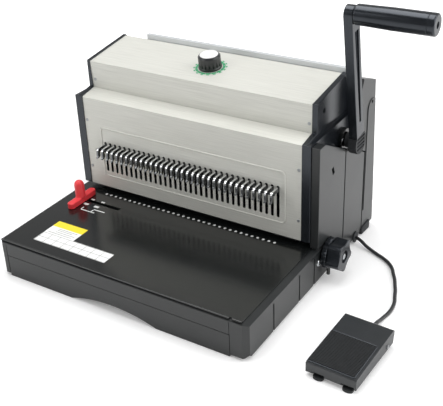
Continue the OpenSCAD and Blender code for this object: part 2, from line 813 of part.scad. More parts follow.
// Flat hooks: an arm, a round elbow and a finger with a turned tip
module hook_outline() {
  r = hook_arm_h;
  curl = 4;
  translate([hook_tip_y + r, hook_top - hook_arm_h]) square([hook_bar_y0 - hook_tip_y - r, hook_arm_h]);
  intersection() {
    translate([hook_tip_y + r, hook_top - r]) circle(r);
    translate([hook_tip_y, hook_top - r]) square(r);
  }
  translate([hook_tip_y, hook_tip_z + curl]) square([hook_finger, hook_top - r - hook_tip_z - curl + 0.01]);
  polygon([
    [hook_tip_y, hook_tip_z + curl], [hook_tip_y - 2.5, hook_tip_z], [hook_tip_y + hook_finger - 3, hook_tip_z],
    [hook_tip_y + hook_finger, hook_tip_z + curl]
  ]);
}
module wire_hooks() {
  color(c_steel) placed() for (x = row_x) along_x(x - hook_t / 2, x + hook_t / 2) difference() {
    hook_outline();
    translate([tie_rod_y, tie_rod_z]) circle(d = tie_rod_d + 0.2);
  }
}
module hook_tie_rod() {
  color(c_steel) placed() bar_x(row_x[0] - 4, row_x[hole_count - 1] + 4, tie_rod_y, tie_rod_z, tie_rod_d);
}

// Rods on which the hook bar's legs slide, and pillars of the punch ram
module guide_rods() {
  color("#c9ccd0") placed() {
    for (x = [hook_leg_l, hook_leg_r]) bar_z(guide_low, guide_high, x, guide_y, guide_d);
    for (x = [pillar_l, pillar_r]) bar_z(stripper_top, pillar_top, x, punch_y, pillar_d);
  }
}
// Blocks on the side frames: they hold the rods, and the closer's jaw slides in them
module guide_blocks() {
  low = jaw_top - jaw_h - 15;
  high = low + 45;
  color(c_dark) placed() {
    for (x = [[frame_l1, hook_leg_l + 8], [hook_leg_r - 8, frame_r0]])
      for (z = [guide_low - 8, guide_high]) block([x[0], guide_y - 8, z], [x[1], guide_y + 8, z + 8]);
    for (x = [[frame_l1, jaw_l + 4, jaw_l - slide_gap, jaw_l + 5], [jaw_r - 4, frame_r0, jaw_r - 5, jaw_r + slide_gap]])
      difference() {
        block([x[0], jaw_y0 - 7, low], [x[1], jaw_y1 + 1.4, high]);
        block([x[2], jaw_y0 - slide_gap, low - 1], [x[3], jaw_y1 + slide_gap, high + 1]);
      }
  }
}

// Lever: the arm with its long recess, the grip, the cap, the shaft and its pinions
module lever_arm() {
  recess = 3;
  color(c_dark) placed() translate([0, pivot_y, pivot_z]) difference() {
    union() {
      along_x(arm_x0, arm_x1) rotate(lever_lean) {
        circle(d = hub_d);
        translate([-arm_w / 2, 0]) square([arm_w, lever_l]);
        translate([0, lever_l]) circle(d = arm_w);
      }
      bar_x(cover_x0 + flange_t + 1, arm_x0 + 1, 0, 0, shaft_d + 6);
    }
    bar_x(cover_x0, arm_x1 - 3, 0, 0, shaft_d);
    along_x(arm_x1 - recess, arm_x1 + 1) rotate(lever_lean)
      polygon([[-1, hub_d], [3, hub_d], [6, lever_l - 22], [-4, lever_l - 22]]);
    rotate([lever_lean, 0, 0]) bar_x(arm_x1 - 4, arm_x1 + 1, 0, lever_l, 8);
    // Ribs in the hub's face
    for (k = [-2 : 1]) block([arm_x1 - 2, -11, 5 * k + 1], [arm_x1 + 1, 11, 5 * k + 3.4]);
  }
}
module lever_frame() {
  translate([0, pivot_y, pivot_z]) rotate([lever_lean, 0, 0]) translate([0, 0, lever_l]) children();
}
module lever_grip() {
  r = grip_d / 2;
  l = grip_l - cap_l;
  color(c_dark) placed() lever_frame() {
    translate([arm_x1, 0, 0]) rotate([0, 90, 0]) rotate_extrude()
      polygon([[0, 0], [r - 3, 0], [r - 1, 2], [r - 0.6, l / 4], [r, l / 2], [r, l], [0, l]]);
    bar_x(arm_x1 - 4, arm_x1, 0, 0, 8);
  }
}
module grip_cap() {
  r = grip_d / 2;
  color(c_dark) placed() lever_frame() translate([arm_x1 + grip_l - cap_l, 0, 0]) rotate([0, 90, 0])
    rotate_extrude() polygon([[0, 0], [r, 0], [r, cap_l - 1.5], [r - 1.5, cap_l], [4, cap_l], [3.4, cap_l - 3],
      [0, cap_l - 3]]);
}
module lever_shaft() {
  color("#c9ccd0") placed() bar_x(frame_l0, arm_x1 - 3, pivot_y, pivot_z, shaft_d);
}
module lever_pinions() {
  color("#8d9094") placed() for (x = [hook_leg_l, hook_leg_r, jaw_leg_l, jaw_leg_r])
    along_x(x - pinion_w / 2, x + pinion_w / 2) translate([pivot_y, pivot_z]) difference() {
      gear(pinion_module, pinion_teeth, 0);
      circle(d = shaft_d);
    }
}

// Punch set: die, stripper, spacers, pillars, ram and pins
module row_holes(side, z0, z1) {
  for (x = row_x) block([x - side / 2, punch_y - side / 2, z0], [x + side / 2, punch_y + side / 2, z1]);
}
module die_plate() {
  color("#7d8185") placed() difference() {
    block([die_x0, panel_y + 10, die_top - die_h], [die_x1, base_d - base_wall - 0.5, die_top]);
    row_holes(pin_side + 2 * pin_gap, die_top - die_h - 1, die_top + 1);
  }
}
module die_supports() {
  color(c_steel) placed() for (x = [[die_x0, 1], [die_x1, -1]]) {
    block([min(x[0], x[0] + die_foot_w * x[1]), panel_y + 12, floor_z],
      [max(x[0], x[0] + die_foot_w * x[1]), base_d - base_wall - 1, die_top - die_h]);
    block([min(x[0], x[0] + 6 * x[1]), punch_y - 11, die_top], [max(x[0], x[0] + 6 * x[1]), punch_y + 1, stripper_bottom]);
  }
}
module stripper_plate() {
  color("#7d8185") placed() difference() {
    block([die_x0, punch_y - 12, stripper_bottom], [die_x1, punch_y + 13, stripper_top]);
    row_holes(pin_side + 2 * pin_gap, stripper_bottom - 1, stripper_top + 1);
  }
}
module punch_ram() {
  color(c_steel) placed() difference() {
    block([frame_l1 + 1, punch_y - ram_t / 2, ram_bottom], [frame_r0 - 1, punch_y + ram_t / 2, ram_top]);
    for (x = [pillar_l, pillar_r]) bar_z(ram_bottom - 1, ram_top + 1, x, punch_y, pillar_d + 2 * run_gap);
  }
}
module punch_pins() {
  color("#c9ccd0") placed() row_holes(pin_side, pin_tip, ram_bottom);
}

// Cam shaft with two even-rise cams and its gear
module cam_shaft() {
  color("#c9ccd0") placed() bar_x(frame_l0, frame_r1, punch_y, cam_z, cam_shaft_d);
}
module punch_cams() {
  color("#8d9094") placed() for (x = [frame_l1 + 1.5, frame_r0 - 1.5 - cam_w]) along_x(x, x + cam_w)
    translate([punch_y, cam_z]) difference() {
      polygon([for (a = [-180 : 6 : 174]) (cam_r + punch_stroke * abs(a) / 180) * [sin(a), -cos(a)]]);
      circle(d = cam_shaft_d);
    }
  color("#8d9094") placed() along_x(gear_x, gear_x + gear_w) translate([punch_y, cam_z]) difference() {
    gear(gear_module, gear_teeth, 0.15);
    circle(d = cam_shaft_d);
  }
}
module drive_gear() {
  color("#8d9094") placed() {
    along_x(gear_x, gear_x + gear_w) translate([drive_y, cam_z]) rotate(180 / gear_teeth)
      gear(gear_module, gear_teeth, 0.15);
    bar_x(gear_x + gear_w, gear_x + gear_w + 16, drive_y, cam_z, drive_shaft_d);
  }
}
module gearbox() {
  color(c_dark) placed() difference() {
    union() {
      block([box_x, drive_y - 18, box_low], [box_x + box_w, drive_y + 34, cam_z + 22]);
      block([box_x + 6, drive_y - 10, floor_z], [box_x + box_w - 6, drive_y + 30, box_low]);
    }
    bar_x(box_x - 1, box_x + 14, drive_y, cam_z, drive_shaft_d + 2 * run_gap);
  }
}
module motor() {
  x0 = box_x + box_w;
  x1 = x0 + motor_l;
  color("#6f7478") placed() {
    bar_x(x0, x1, drive_y + 14, motor_z, motor_d);
    bar_x(x1, x1 + 12, drive_y + 14, motor_z, motor_d - 10);
    block([x0 + 20, drive_y - 6, floor_z], [x1 - 20, drive_y + 34, motor_z - 26]);
  }
}

// Chip drawer: a front with a finger arch, cheeks and a tray
module chip_drawer() {
  color(c_black) placed() difference() {
    union() {
      block([drawer_x0, front_y, drawer_low], [drawer_x1, front_y + base_wall, drawer_top]);
      difference() {
        block([tray_x0, front_y + base_wall, tray_z0], [tray_x1, tray_y1, tray_z1]);
        block([tray_x0 + tray_wall, tray_y0 + tray_wall, tray_z0 + tray_wall],
          [tray_x1 - tray_wall, tray_y1 - tray_wall, tray_z1 + 1]);
        block([tray_x0 + tray_wall, front_y, tray_z0 - 1], [tray_x1 - tray_wall, tray_y0, tray_z1 + 1]);
      }
    }
    translate([body_x - 3, front_y - 1, drawer_low + arch_h - arch_r]) rotate([-90, 0, 0])
      cylinder(h = base_wall + 2, r = arch_r, $fn = 160);
  }
}

// Margin knob: five rounded corners with hollowed sides, its shaft with a crank and pin, and the gauge it moves
module margin_knob() {
  corner_r = 6;
  reach = knob_d / 2 - corner_r;
  hollow_r = 26;
  hollow_at = reach * cos(36) + corner_r + hollow_r - 2;
  color(c_dark) placed() translate([0, knob_y, knob_z]) difference() {
    along_x(knob_x0, knob_x1) {
      polygon([
        for (i = [0 : 4]) for (s = [-1, 1]) let (a = i * 72 + 54)
          reach * [cos(a), sin(a)] + corner_r * [cos(a + 36 * s), sin(a + 36 * s)]
      ]);
      for (i = [0 : 4]) rotate(i * 72 + 54) translate([reach, 0]) circle(r = corner_r);
    }
    for (i = [0 : 4])
      bar_x(knob_x0 - 1, knob_x1 + 1, hollow_at * cos(i * 72 + 90), hollow_at * sin(i * 72 + 90), 2 * hollow_r);
    bar_x(knob_x1 - 4, knob_x1 + 1, 0, 0, 17);
    bar_x(knob_x0 - 1, knob_x1, 0, 0, knob_shaft_d);
  }
}
module knob_shaft() {
  color("#c9ccd0") placed() translate([0, knob_y, knob_z]) {
    bar_x(crank_x + 3, knob_x1 - 1, 0, 0, knob_shaft_d);
    bar_x(crank_x, crank_x + 3, 0, 0, 2 * crank_r + crank_pin_d + 1);
    bar_x(gauge_lug_x - 0.5, crank_x, 0, crank_r, crank_pin_d);
  }
}
module knob_collar() {
  color(c_steel) placed() difference() {
    union() {
      bar_x(base_x1, knob_x0 - slide_gap, knob_y, knob_z, 22);
      bar_z(6, knob_z - 8, knob_x0 - 3, knob_y - 4, 5);
    }
    bar_x(base_x1 - 1, knob_x0 + 1, knob_y, knob_z, knob_shaft_d + 2 * run_gap);
  }
}
module back_gauge() {
  slot = crank_pin_d + 2 * slide_gap;
  color(c_steel) placed() difference() {
    union() {
      block([die_x0 + 7, knob_y + 1.5, die_top + 0.4], [die_x1 - 6.5, knob_y + 6.5, die_top + 0.4 + gauge_h]);
      block([die_x1 - 6.6, knob_y + 1.5, die_top + 0.4], [die_x1 + 3, knob_y + 4, die_top + 0.4 + gauge_h]);
      block([die_x1 + 2.9, knob_y - 9, die_top + 0.4], [gauge_lug_x + gauge_lug_t, knob_y + 5, die_top + 0.4 + gauge_h]);
      block([gauge_lug_x, knob_y - 9, knob_z - 2], [gauge_lug_x + gauge_lug_t, knob_y + 5, die_top + 1]);
    }
    block([gauge_lug_x - 1, knob_y - slot / 2, knob_z - 3],
      [gauge_lug_x + gauge_lug_t + 1, knob_y + slot / 2, knob_z + crank_r + crank_pin_d]);
  }
}

// Size dial on the sloping top: a fluted knob, a cap and a spindle
module dial_frame() {
  z = upper_front_z + (dial_y - upper_y) * tan(upper_slope);
  translate([body_x, dial_y, z]) rotate([upper_slope, 0, 0]) children();
}
module dial_knob() {
  r = dial_d / 2;
  flutes = 18;
  color(c_dark) placed() dial_frame() translate([0, 0, slide_gap]) difference() {
    rotate_extrude() polygon([[0, 0], [r, 0], [r, 2], [r - 1, 3.5], [r - 2, dial_h - 2.5], [r - 4, dial_h], [0, dial_h]]);
    for (i = [0 : flutes - 1]) rotate(i * 360 / flutes) translate([r - 0.6, 0, 4]) cylinder(h = dial_h, d = 2.4, $fn = 16);
    translate([0, 0, dial_h - 1]) cylinder(h = 3, d = dial_d - 9);
    translate([0, 0, -1]) cylinder(h = 12, d = dial_spindle_d);
  }
}
module dial_cap() {
  color("#e6e6e2") placed() dial_frame() translate([0, 0, slide_gap + dial_h - 1]) cylinder(h = 1.6, d = dial_d - 9);
}
module dial_spindle() {
  color(c_steel) placed() dial_frame() {
    translate([0, 0, -36]) cylinder(h = 36 + slide_gap + 11, d = dial_spindle_d);
    translate([0, 0, -36]) cylinder(h = 5, d = 16);
  }
}

// Red side stop that slides along its slot
module side_stop() {
  r = stop_bar_w / 2;
  z = table_z + slide_gap;
  h = stop_h - stop_bar_h;
  color(c_red) placed() {
    difference() {
      block([stop_x - r, stop_bar_y - stop_l / 2 + r, z], [stop_x + r, stop_bar_y + stop_l / 2 - r, z + stop_bar_h]);
      bar_z(z - 1, z + stop_bar_h - 2, stop_x, stop_y, stop_pin_d);
    }
    for (s = [-1, 1]) bar_z(z, z + stop_bar_h, stop_x, stop_bar_y + s * (stop_l / 2 - r), stop_bar_w);
    translate([stop_x, stop_post_y, z + stop_bar_h]) rotate_extrude()
      polygon([[0, 0], [stop_d / 2, 0], [stop_d / 2, h - 6], [stop_d / 2 - 1, h - 3], [stop_d / 2 - 3, h - 1],
        [stop_d / 2 - 5, h], [0, h]]);
  }
}
module stop_clamp() {
  z = base_h - base_wall - slide_gap;
  color(c_steel) placed() {
    bar_z(z, table_z + slide_gap + stop_bar_h - 2, stop_x, stop_y, stop_pin_d);
    block([stop_x - 7, stop_y - 9, z - 3], [stop_x + 7, stop_y + 9, z]);
  }
}

// Mains inlet and power switch on the rear sheet
module mains_inlet() {
  color(c_rubber) placed() inlet_place() {
    difference() {
      union() {
        translate([0, 0, -16]) block([-inlet_w / 2, -inlet_h / 2, 0], [inlet_w / 2, inlet_h / 2, 16]);
        block([-inlet_w / 2 - 3, -inlet_h / 2 - 3, 0], [inlet_w / 2 + 3, inlet_h / 2 + 3, 1.5]);
      }
      block([-11.8, -7.8, -12], [11.8, 7.8, 3]);
    }
    for (x = [-7, 0, 7]) translate([x, x == 0 ? 2 : -2, -12]) block([-1, -2, 0], [1, 2, 6.5]);
  }
}
module switch_frame() {
  color(c_rubber) placed() switch_place() difference() {
    union() {
      translate([0, 0, -14]) block([-switch_w / 2, -switch_h / 2, 0], [switch_w / 2, switch_h / 2, 14]);
      block([-switch_w / 2 - 2, -switch_h / 2 - 2, 0], [switch_w / 2 + 2, switch_h / 2 + 2, 1.5]);
    }
    block([-switch_w / 2 + 1.5, -switch_h / 2 + 1.5, -9], [switch_w / 2 - 1.5, switch_h / 2 - 1.5, 3]);
    bar_y(-switch_h / 2 + 0.4, switch_h / 2 - 0.4, 0, rocker_pin_z, rocker_pin_d + 2 * run_gap);
  }
}
module power_switch() {
  w = switch_h - 4.2;
  color("#1f2123") placed() switch_place() {
    translate([0, w / 2, 0]) rotate([90, 0, 0]) linear_extrude(w)
      polygon([[-6.2, -0.5], [-5.8, 0.9], [0, 0.3], [5.5, 1.9], [6.2, 0.6], [3, -7], [-3, -7]]);
    bar_y(-switch_h / 2 + 0.7, switch_h / 2 - 0.7, 0, rocker_pin_z, rocker_pin_d);
  }
}

// Screws on the silver covers, the stud on the base and the bolts of the bearing flange
module cover_screws() {
  z_low = panel_bottom + 29;
  z_high = panel_top - 35;
  color("#8c8f90") placed() {
    for (x = [left_x + 4, right_x - 4]) for (z = [z_low, z_high]) bar_y(panel_y - 0.8, panel_y, x, z, 4.5);
    for (x = [left_x + 4, right_x - 4]) bar_y(upper_y - 0.8, upper_y, x, upper_front_z - 26, 4.5);
    bar_x(base_x1, base_x1 + 4, stud_y, stud_z, 10);
    for (a = [20, 160])
      bar_x(cover_x0 + flange_t, cover_x0 + flange_t + 3, pivot_y + flange_bolt_r * cos(a),
        pivot_z + flange_bolt_r * sin(a), 4);
  }
}

// Foot pedal: base, feet, pin, switch, strain relief, treadle and its pad
module pedal_base() {
  x = pedal_w / 2 - treadle_wall - 0.8;
  color("#3a3d40") at_pedal() difference() {
    union() {
      block([-x, pedal_front + 4, pedal_lift], [x, pedal_rear - 3, pedal_lift + 5]);
      block([-x, pedal_pin_y - 6, pedal_lift], [-x + 4, pedal_pin_y + 6, pedal_pin_z + 5]);
      block([x - 4, pedal_pin_y - 6, pedal_lift], [x, pedal_pin_y + 6, pedal_pin_z + 5]);
      block([-9, pedal_rear - 6, pedal_lift], [9, pedal_rear, 14]);
    }
    bar_x(-x - 1, x + 1, pedal_pin_y, pedal_pin_z, pedal_pin_d);
    bar_y(pedal_rear - 7, pedal_rear + 1, 0, 8, 7);
  }
}
module pedal_pin() {
  x = pedal_w / 2;
  color(c_steel) at_pedal() bar_x(-x - pedal_pin_end, x + pedal_pin_end, pedal_pin_y, pedal_pin_z, pedal_pin_d);
}
module pedal_switch() {
  color(c_rubber) at_pedal()
    block([-10, pedal_front + 40, pedal_lift + 5], [10, pedal_front + 46, pedal_lift + 13.5]);
}
module pedal_relief() {
  color(c_rubber) at_pedal() {
    bar_y(pedal_rear - 6, pedal_rear, 0, 8, 7);
    translate([0, pedal_rear, 8]) rotate([-90, 0, 0]) cylinder(h = relief_l, d1 = 9, d2 = cord_d + 2);
  }
}
module treadle() {
  x = pedal_w / 2;
  outline = [
    [pedal_front, 8], [pedal_rear - 4, 6], [pedal_rear - 1, pedal_h - 2], [pedal_rear - 4, pedal_h],
    [pedal_pin_y - 10, pedal_h - 1], [pedal_front + 2, treadle_front_h], [pedal_front, treadle_front_h - 1.5]
  ];
  color("#3a3d40") at_pedal() difference() {
    along_x(-x, x) polygon(outline);
    along_x(-x + treadle_wall, x - treadle_wall) polygon([
      [pedal_front + treadle_wall, 0], [pedal_rear - 3, 0], [pedal_rear - 4.5, pedal_h - treadle_wall - 1],
      [pedal_pin_y - 10, pedal_h - 1 - treadle_wall], [pedal_front + treadle_wall, treadle_front_h - treadle_wall]
    ]);
    block([-11, pedal_rear - 10, 0], [11, pedal_rear + 1, 17]);
    for (s = [-1, 1]) block([s * 21 - 8, pedal_front - 1, 0], [s * 21 + 8, pedal_front + 4, 11]);
    bar_x(-x - 1, x + 1, pedal_pin_y, pedal_pin_z, pedal_pin_d + 2 * run_gap);
  }
}
module treadle_pad() {
  run = pedal_pin_y - 10.5 - pedal_front - 3.5;
  slope = atan((pedal_h - 1 - treadle_front_h) / (pedal_pin_y - 10 - pedal_front - 2));
  ribs = 28;
  step = run / cos(slope) / ribs;
  z0 = treadle_front_h + 1.5 * tan(slope);
  x = pedal_w / 2 - 1.2;
  color(c_rubber) at_pedal() translate([0, pedal_front + 3.5, z0]) rotate([slope, 0, 0]) {
    block([-x, 0, 0], [x, ribs * step, 1]);
    for (i = [0 : ribs - 1]) block([-x, (i + 0.2) * step, 1], [x, (i + 0.8) * step, 1.8]);
  }
}

// Cord between the machine and the pedal, with the grommet it leaves by
module cord_grommet() {
  y = cord_points[0][1];
  color(c_rubber) placed() union() {
    bar_x(cover_x1 - cover_wall, cover_x1, y, grommet_z, grommet_d);
    bar_x(cover_x1, cord_points[0][0], y, grommet_z, grommet_d + 4);
  }
}
function cord_dir(i) = unit(cord_points[min(i + 1, len(cord_points) - 1)] - cord_points[max(i - 1, 0)]);
cord_in = [-sin(pedal_turn), -cos(pedal_turn), 0];
function ring_axis(i) = i == 0 ? [1, 0, 0] : i == len(cord_points) - 1 ? cord_in : cord_dir(i);
module pedal_cord() {
  n = len(cord_points);
  points = [
    for (i = [0 : n - 1])
      let (t = ring_axis(i), s = unit(cross(t, [0, 0, 1])), u = cross(s, t))
      for (k = [0 : cord_sides - 1])
        let (a = 360 * k / cord_sides) cord_points[i] + cord_d / 2 * (cos(a) * s + sin(a) * u)
  ];
  sides = [
    for (i = [0 : n - 2]) for (k = [0 : cord_sides - 1])
      let (a = i * cord_sides + k, b = i * cord_sides + (k + 1) % cord_sides)
      each [[a, b, b + cord_sides], [a, b + cord_sides, a + cord_sides]]
  ];
  first = [for (k = [1 : cord_sides - 2]) [0, k + 1, k]];
  end = (n - 1) * cord_sides;
  last = [for (k = [1 : cord_sides - 2]) [end, end + k, end + k + 1]];
  color(c_rubber) placed() polyhedron(points, concat(sides, first, last));
}

base_shell();
bottom_sheet();
rubber_feet();
paper_table();
left_end_plate();
right_end_plate();
hook_panel();
top_cover();
side_cover_front();
side_cover_middle();
side_cover_rear();
rear_cover();
side_frames();
shaft_bushes();
bearing_flange();
closer_rail();
closer_jaw();
hook_bar();
wire_hooks();
hook_tie_rod();
guide_rods();
guide_blocks();
lever_arm();
lever_grip();
grip_cap();
lever_shaft();
lever_pinions();
die_plate();
die_supports();
stripper_plate();
punch_ram();
punch_pins();
cam_shaft();
punch_cams();
drive_gear();
gearbox();
motor();
chip_drawer();
margin_knob();
knob_shaft();
knob_collar();
back_gauge();
dial_knob();
dial_cap();
dial_spindle();
side_stop();
stop_clamp();
mains_inlet();
switch_frame();
power_switch();
cover_screws();
pedal_base();
pedal_pin();
pedal_switch();
pedal_relief();
treadle();
treadle_pad();
cord_grommet();
pedal_cord();
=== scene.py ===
import json
import math

import bmesh
import bpy
from mathutils import Matrix, Vector

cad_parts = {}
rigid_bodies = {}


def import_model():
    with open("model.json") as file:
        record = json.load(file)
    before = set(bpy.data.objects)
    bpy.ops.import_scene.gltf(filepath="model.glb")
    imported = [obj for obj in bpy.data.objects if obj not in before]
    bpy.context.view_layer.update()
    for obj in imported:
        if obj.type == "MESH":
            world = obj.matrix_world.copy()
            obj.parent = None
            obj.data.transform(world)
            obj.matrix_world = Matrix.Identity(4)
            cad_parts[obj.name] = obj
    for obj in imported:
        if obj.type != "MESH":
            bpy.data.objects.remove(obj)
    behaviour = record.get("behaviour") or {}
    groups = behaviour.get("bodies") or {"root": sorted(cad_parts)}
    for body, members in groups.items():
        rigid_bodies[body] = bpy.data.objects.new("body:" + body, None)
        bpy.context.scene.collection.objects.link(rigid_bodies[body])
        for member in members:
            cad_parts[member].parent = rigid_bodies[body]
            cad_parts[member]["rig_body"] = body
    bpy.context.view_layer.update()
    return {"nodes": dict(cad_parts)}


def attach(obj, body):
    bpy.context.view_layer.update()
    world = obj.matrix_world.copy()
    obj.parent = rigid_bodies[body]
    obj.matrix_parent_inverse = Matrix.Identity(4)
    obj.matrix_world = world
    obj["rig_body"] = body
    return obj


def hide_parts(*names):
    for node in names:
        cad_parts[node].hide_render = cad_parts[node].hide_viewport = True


bpy.context.scene.view_settings.view_transform = "Standard"
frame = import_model()

# Base: a black ABS moulding, open below, that carries the paper table on its rim.
# Its outside was spark eroded in the mould, so it is matt with a fine grain and soft corners.
MM = 0.001
zero_x, zero_y = 63.794, 178.0


def place(x, y, z):
    """A point of the workshop drawing, in millimetres on its own zero, in the part's frame."""
    return Vector((x - zero_x, y - zero_y, z)) * MM


def measured(point):
    """A point of the part's frame as X, Y and Z of the workshop drawing."""
    return point.x / MM + zero_x, point.y / MM + zero_y, point.z / MM


def linear(code):
    """An sRGB hex colour as the linear colour that shaders take."""
    parts = [int(code[i:i + 2], 16) / 255 for i in (1, 3, 5)]
    return tuple(c / 12.92 if c <= 0.04045 else ((c + 0.055) / 1.055) ** 2.4 for c in parts) + (1.0,)


def fill(node, inputs):
    """Links a node's inputs to other nodes, or gives them values."""
    for key, value in inputs.items():
        if isinstance(value, bpy.types.NodeSocket):
            node.id_data.links.new(value, node.inputs[key])
        else:
            node.inputs[key].default_value = value


def add(tree, kind, inputs=None, **settings):
    """Adds one node, sets it up, and links or fills its inputs."""
    made = tree.nodes.new(kind)
    for key, value in settings.items():
        setattr(made, key, value)
    fill(made, inputs or {})
    return made


def finish_named(name):
    """A new material, with its tree, its shader and the coordinates that its patterns lie in."""
    material = bpy.data.materials.new(name)
    material.use_nodes = True
    tree = material.node_tree
    tree.nodes.clear()
    shader = add(tree, "ShaderNodeBsdfPrincipled")
    add(tree, "ShaderNodeOutputMaterial", {"Surface": shader.outputs[0]})
    return material, tree, shader, add(tree, "ShaderNodeTexCoord").outputs["Object"]


def clouded(shader, pattern, dark, light, smooth=None, dull=None):
    """Lets a pattern run a finish from a dark to a light tone and, where given, from smooth to dull."""
    tree = shader.id_data
    tone = add(tree, "ShaderNodeMix", {"Factor": pattern, "A": linear(dark), "B": linear(light)},
               data_type="RGBA")
    fill(shader, {"Base Color": tone.outputs["Result"]})
    if dull:
        rough = add(tree, "ShaderNodeMapRange", {"Value": pattern, "To Min": smooth, "To Max": dull})
        fill(shader, {"Roughness": rough.outputs["Result"]})


def moulded_abs(name, smear_size, dark, light, ior):
    """ABS with a grain of about 0.4 mm, drawn twice as coarse so that it shows.

    Broad faint smears lie over it, where hands have polished the grain.
    """
    material, tree, shader, where = finish_named(name)
    grain = add(tree, "ShaderNodeTexNoise", {"Vector": where, "Scale": 1 / (0.8 * MM), "Detail": 2.0})
    smear = add(tree, "ShaderNodeTexNoise", {"Vector": where, "Scale": 1 / (smear_size * MM), "Detail": 3.0})
    clouded(shader, smear.outputs["Fac"], dark, light, 0.27, 0.39)
    bump = add(tree, "ShaderNodeBump", {"Height": grain.outputs["Fac"], "Strength": 0.12,
                                        "Distance": 0.1 * MM})
    fill(shader, {"Normal": bump.outputs["Normal"], "IOR": ior})
    return material


def put_in(name, data):
    """Sets a mesh, a curve, a lamp or a camera in the scene, at the origin."""
    piece = bpy.data.objects.new(name, data)
    bpy.context.scene.collection.objects.link(piece)
    return piece


def settled(piece):
    """Turns a piece and its modifiers into one plain mesh."""
    bpy.context.view_layer.update()
    ready = piece.evaluated_get(bpy.context.evaluated_depsgraph_get())
    piece.data = bpy.data.meshes.new_from_object(ready)
    piece.modifiers.clear()


def faired(mesh):
    """Shades broad faces flat and blends narrow ones into them, so that only edges catch the light."""
    broad, alike, trace = 200 * MM * MM, 0.64, 1e-12
    mesh.shade_smooth()
    normals = [face.normal.copy() for face in mesh.polygons]
    areas = [face.area for face in mesh.polygons]
    around = [[] for _ in mesh.vertices]
    for face in mesh.polygons:
        for vert in face.vertices:
            around[vert].append(face.index)
    corners = []
    for face in mesh.polygons:
        own = normals[face.index]
        for vert in face.vertices:
            blend = own * trace
            for near in around[vert]:
                if normals[near].dot(own) > alike:
                    blend += normals[near] * areas[near]
            corners.append(own if areas[face.index] > broad else blend.normalized())
    mesh.normals_split_custom_set(corners)


def softened(node, material, edge, segments, reshape=None):
    """A piece with the shape of a drawn one and rounded edges, as a real moulding or sheet has."""
    weld, flat, sharp = 1e-6, math.radians(0.4), math.radians(28)
    source = frame["nodes"][node]
    mesh = source.data.copy()
    work = bmesh.new()
    work.from_mesh(mesh)
    bmesh.ops.remove_doubles(work, verts=work.verts, dist=weld)
    bmesh.ops.dissolve_limit(work, angle_limit=flat, verts=work.verts, edges=work.edges)
    if reshape:
        for vert in work.verts:
            vert.co = place(*reshape(*measured(vert.co)))
    work.to_mesh(mesh)
    work.free()
    mesh.materials.clear()
    mesh.materials.append(material)
    piece = put_in(node + "_finished", mesh)
    rim = piece.modifiers.new("rim", "BEVEL")
    rim.width = edge * MM
    rim.segments = segments
    rim.limit_method = "ANGLE"
    rim.angle_limit = sharp
    settled(piece)
    faired(piece.data)
    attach(piece, source["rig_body"])
    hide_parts(node)
    return piece


joint_lines, joint_half, joint_top, joint_opening = (61, 129, 171), 0.75, 48, 2.6


def grooved(x, y, z):
    """Opens the upright joint grooves of the two side walls to the width that casts a clear shadow."""
    for line_y in joint_lines:
        if abs(y - line_y) < joint_half and z < joint_top:
            return x, line_y + (y - line_y) * joint_opening, z
    return x, y, z


abs_black = moulded_abs("moulded_abs_black", 45, "#1d1f20", "#272929", 1.53)
softened("base_shell", abs_black, edge=0.8, segments=3, reshape=grooved)

# Bottom sheet and feet: a zinc-plated steel sheet closes the base, on moulded rubber feet.
# The zinc shows a faint cloudy spangle; the rubber is dull, with a slight bloom.
# The pedal's feet are among them: its two front ones stand under its front wall.
zinc, tree, shader, where = finish_named("zinc_plated_steel")
spangle = add(tree, "ShaderNodeTexVoronoi", {"Vector": where, "Scale": 1 / (9 * MM)})
clouded(shader, spangle.outputs["Distance"], "#9a9da0", "#b4b7b9", 0.34, 0.46)
fill(shader, {"Metallic": 1.0})

rubber, tree, shader, where = finish_named("moulded_rubber")
bloom = add(tree, "ShaderNodeTexNoise", {"Vector": where, "Scale": 1 / (6 * MM), "Detail": 4.0})
clouded(shader, bloom.outputs["Fac"], "#17191b", "#232629")
bump = add(tree, "ShaderNodeBump", {"Height": bloom.outputs["Fac"], "Strength": 0.1, "Distance": 0.2 * MM})
fill(shader, {"Normal": bump.outputs["Normal"], "Roughness": 0.72, "IOR": 1.52})

pedal_turn = math.radians(2.6)
pedal_x, pedal_y, pedal_front = 291, 59.75, 11.5
front_feet_left, front_feet_rear, foot_sole = 250, 25, 2.1
left_foot_shift, foot_share = 5, 0.6


def dress(node, material):
    """Gives a drawn piece that keeps its own shape a finish."""
    mesh = frame["nodes"][node].data
    mesh.materials.clear()
    mesh.materials.append(material)


def on_pedal(x, y):
    """A point of the drawing in the pedal's own axes.

    They run to the right of its middle line, and back from the machine's front.
    """
    right, back = x - pedal_x, y - pedal_y
    return (right * math.cos(pedal_turn) - back * math.sin(pedal_turn),
            right * math.sin(pedal_turn) + back * math.cos(pedal_turn) + pedal_y)


def off_pedal(right, back):
    """The same point, back in the drawing's axes."""
    back -= pedal_y
    return (pedal_x + right * math.cos(pedal_turn) + back * math.sin(pedal_turn),
            pedal_y - right * math.sin(pedal_turn) + back * math.cos(pedal_turn))


def tucked(x, y, z):
    """Sets the pedal's front feet lower and further under its front wall, the left one also to the right."""
    if x < front_feet_left or y > front_feet_rear:
        return x, y, z
    right, back = on_pedal(x, y)
    if right < 0:
        right += left_foot_shift
    if back < pedal_front:
        back = pedal_front + (back - pedal_front) * foot_share
    return *off_pedal(right, back), z * foot_share if z > foot_sole else z


dress("bottom_sheet", zinc)
softened("rubber_feet", rubber, edge=0.8, segments=3, reshape=tucked)

# Chip drawer: the base's front panel with a finger arch, moulded in one with its tray.
# It is of the same ABS and pulls out forwards on the bottom sheet.
softened("chip_drawer", abs_black, edge=0.6, segments=2)

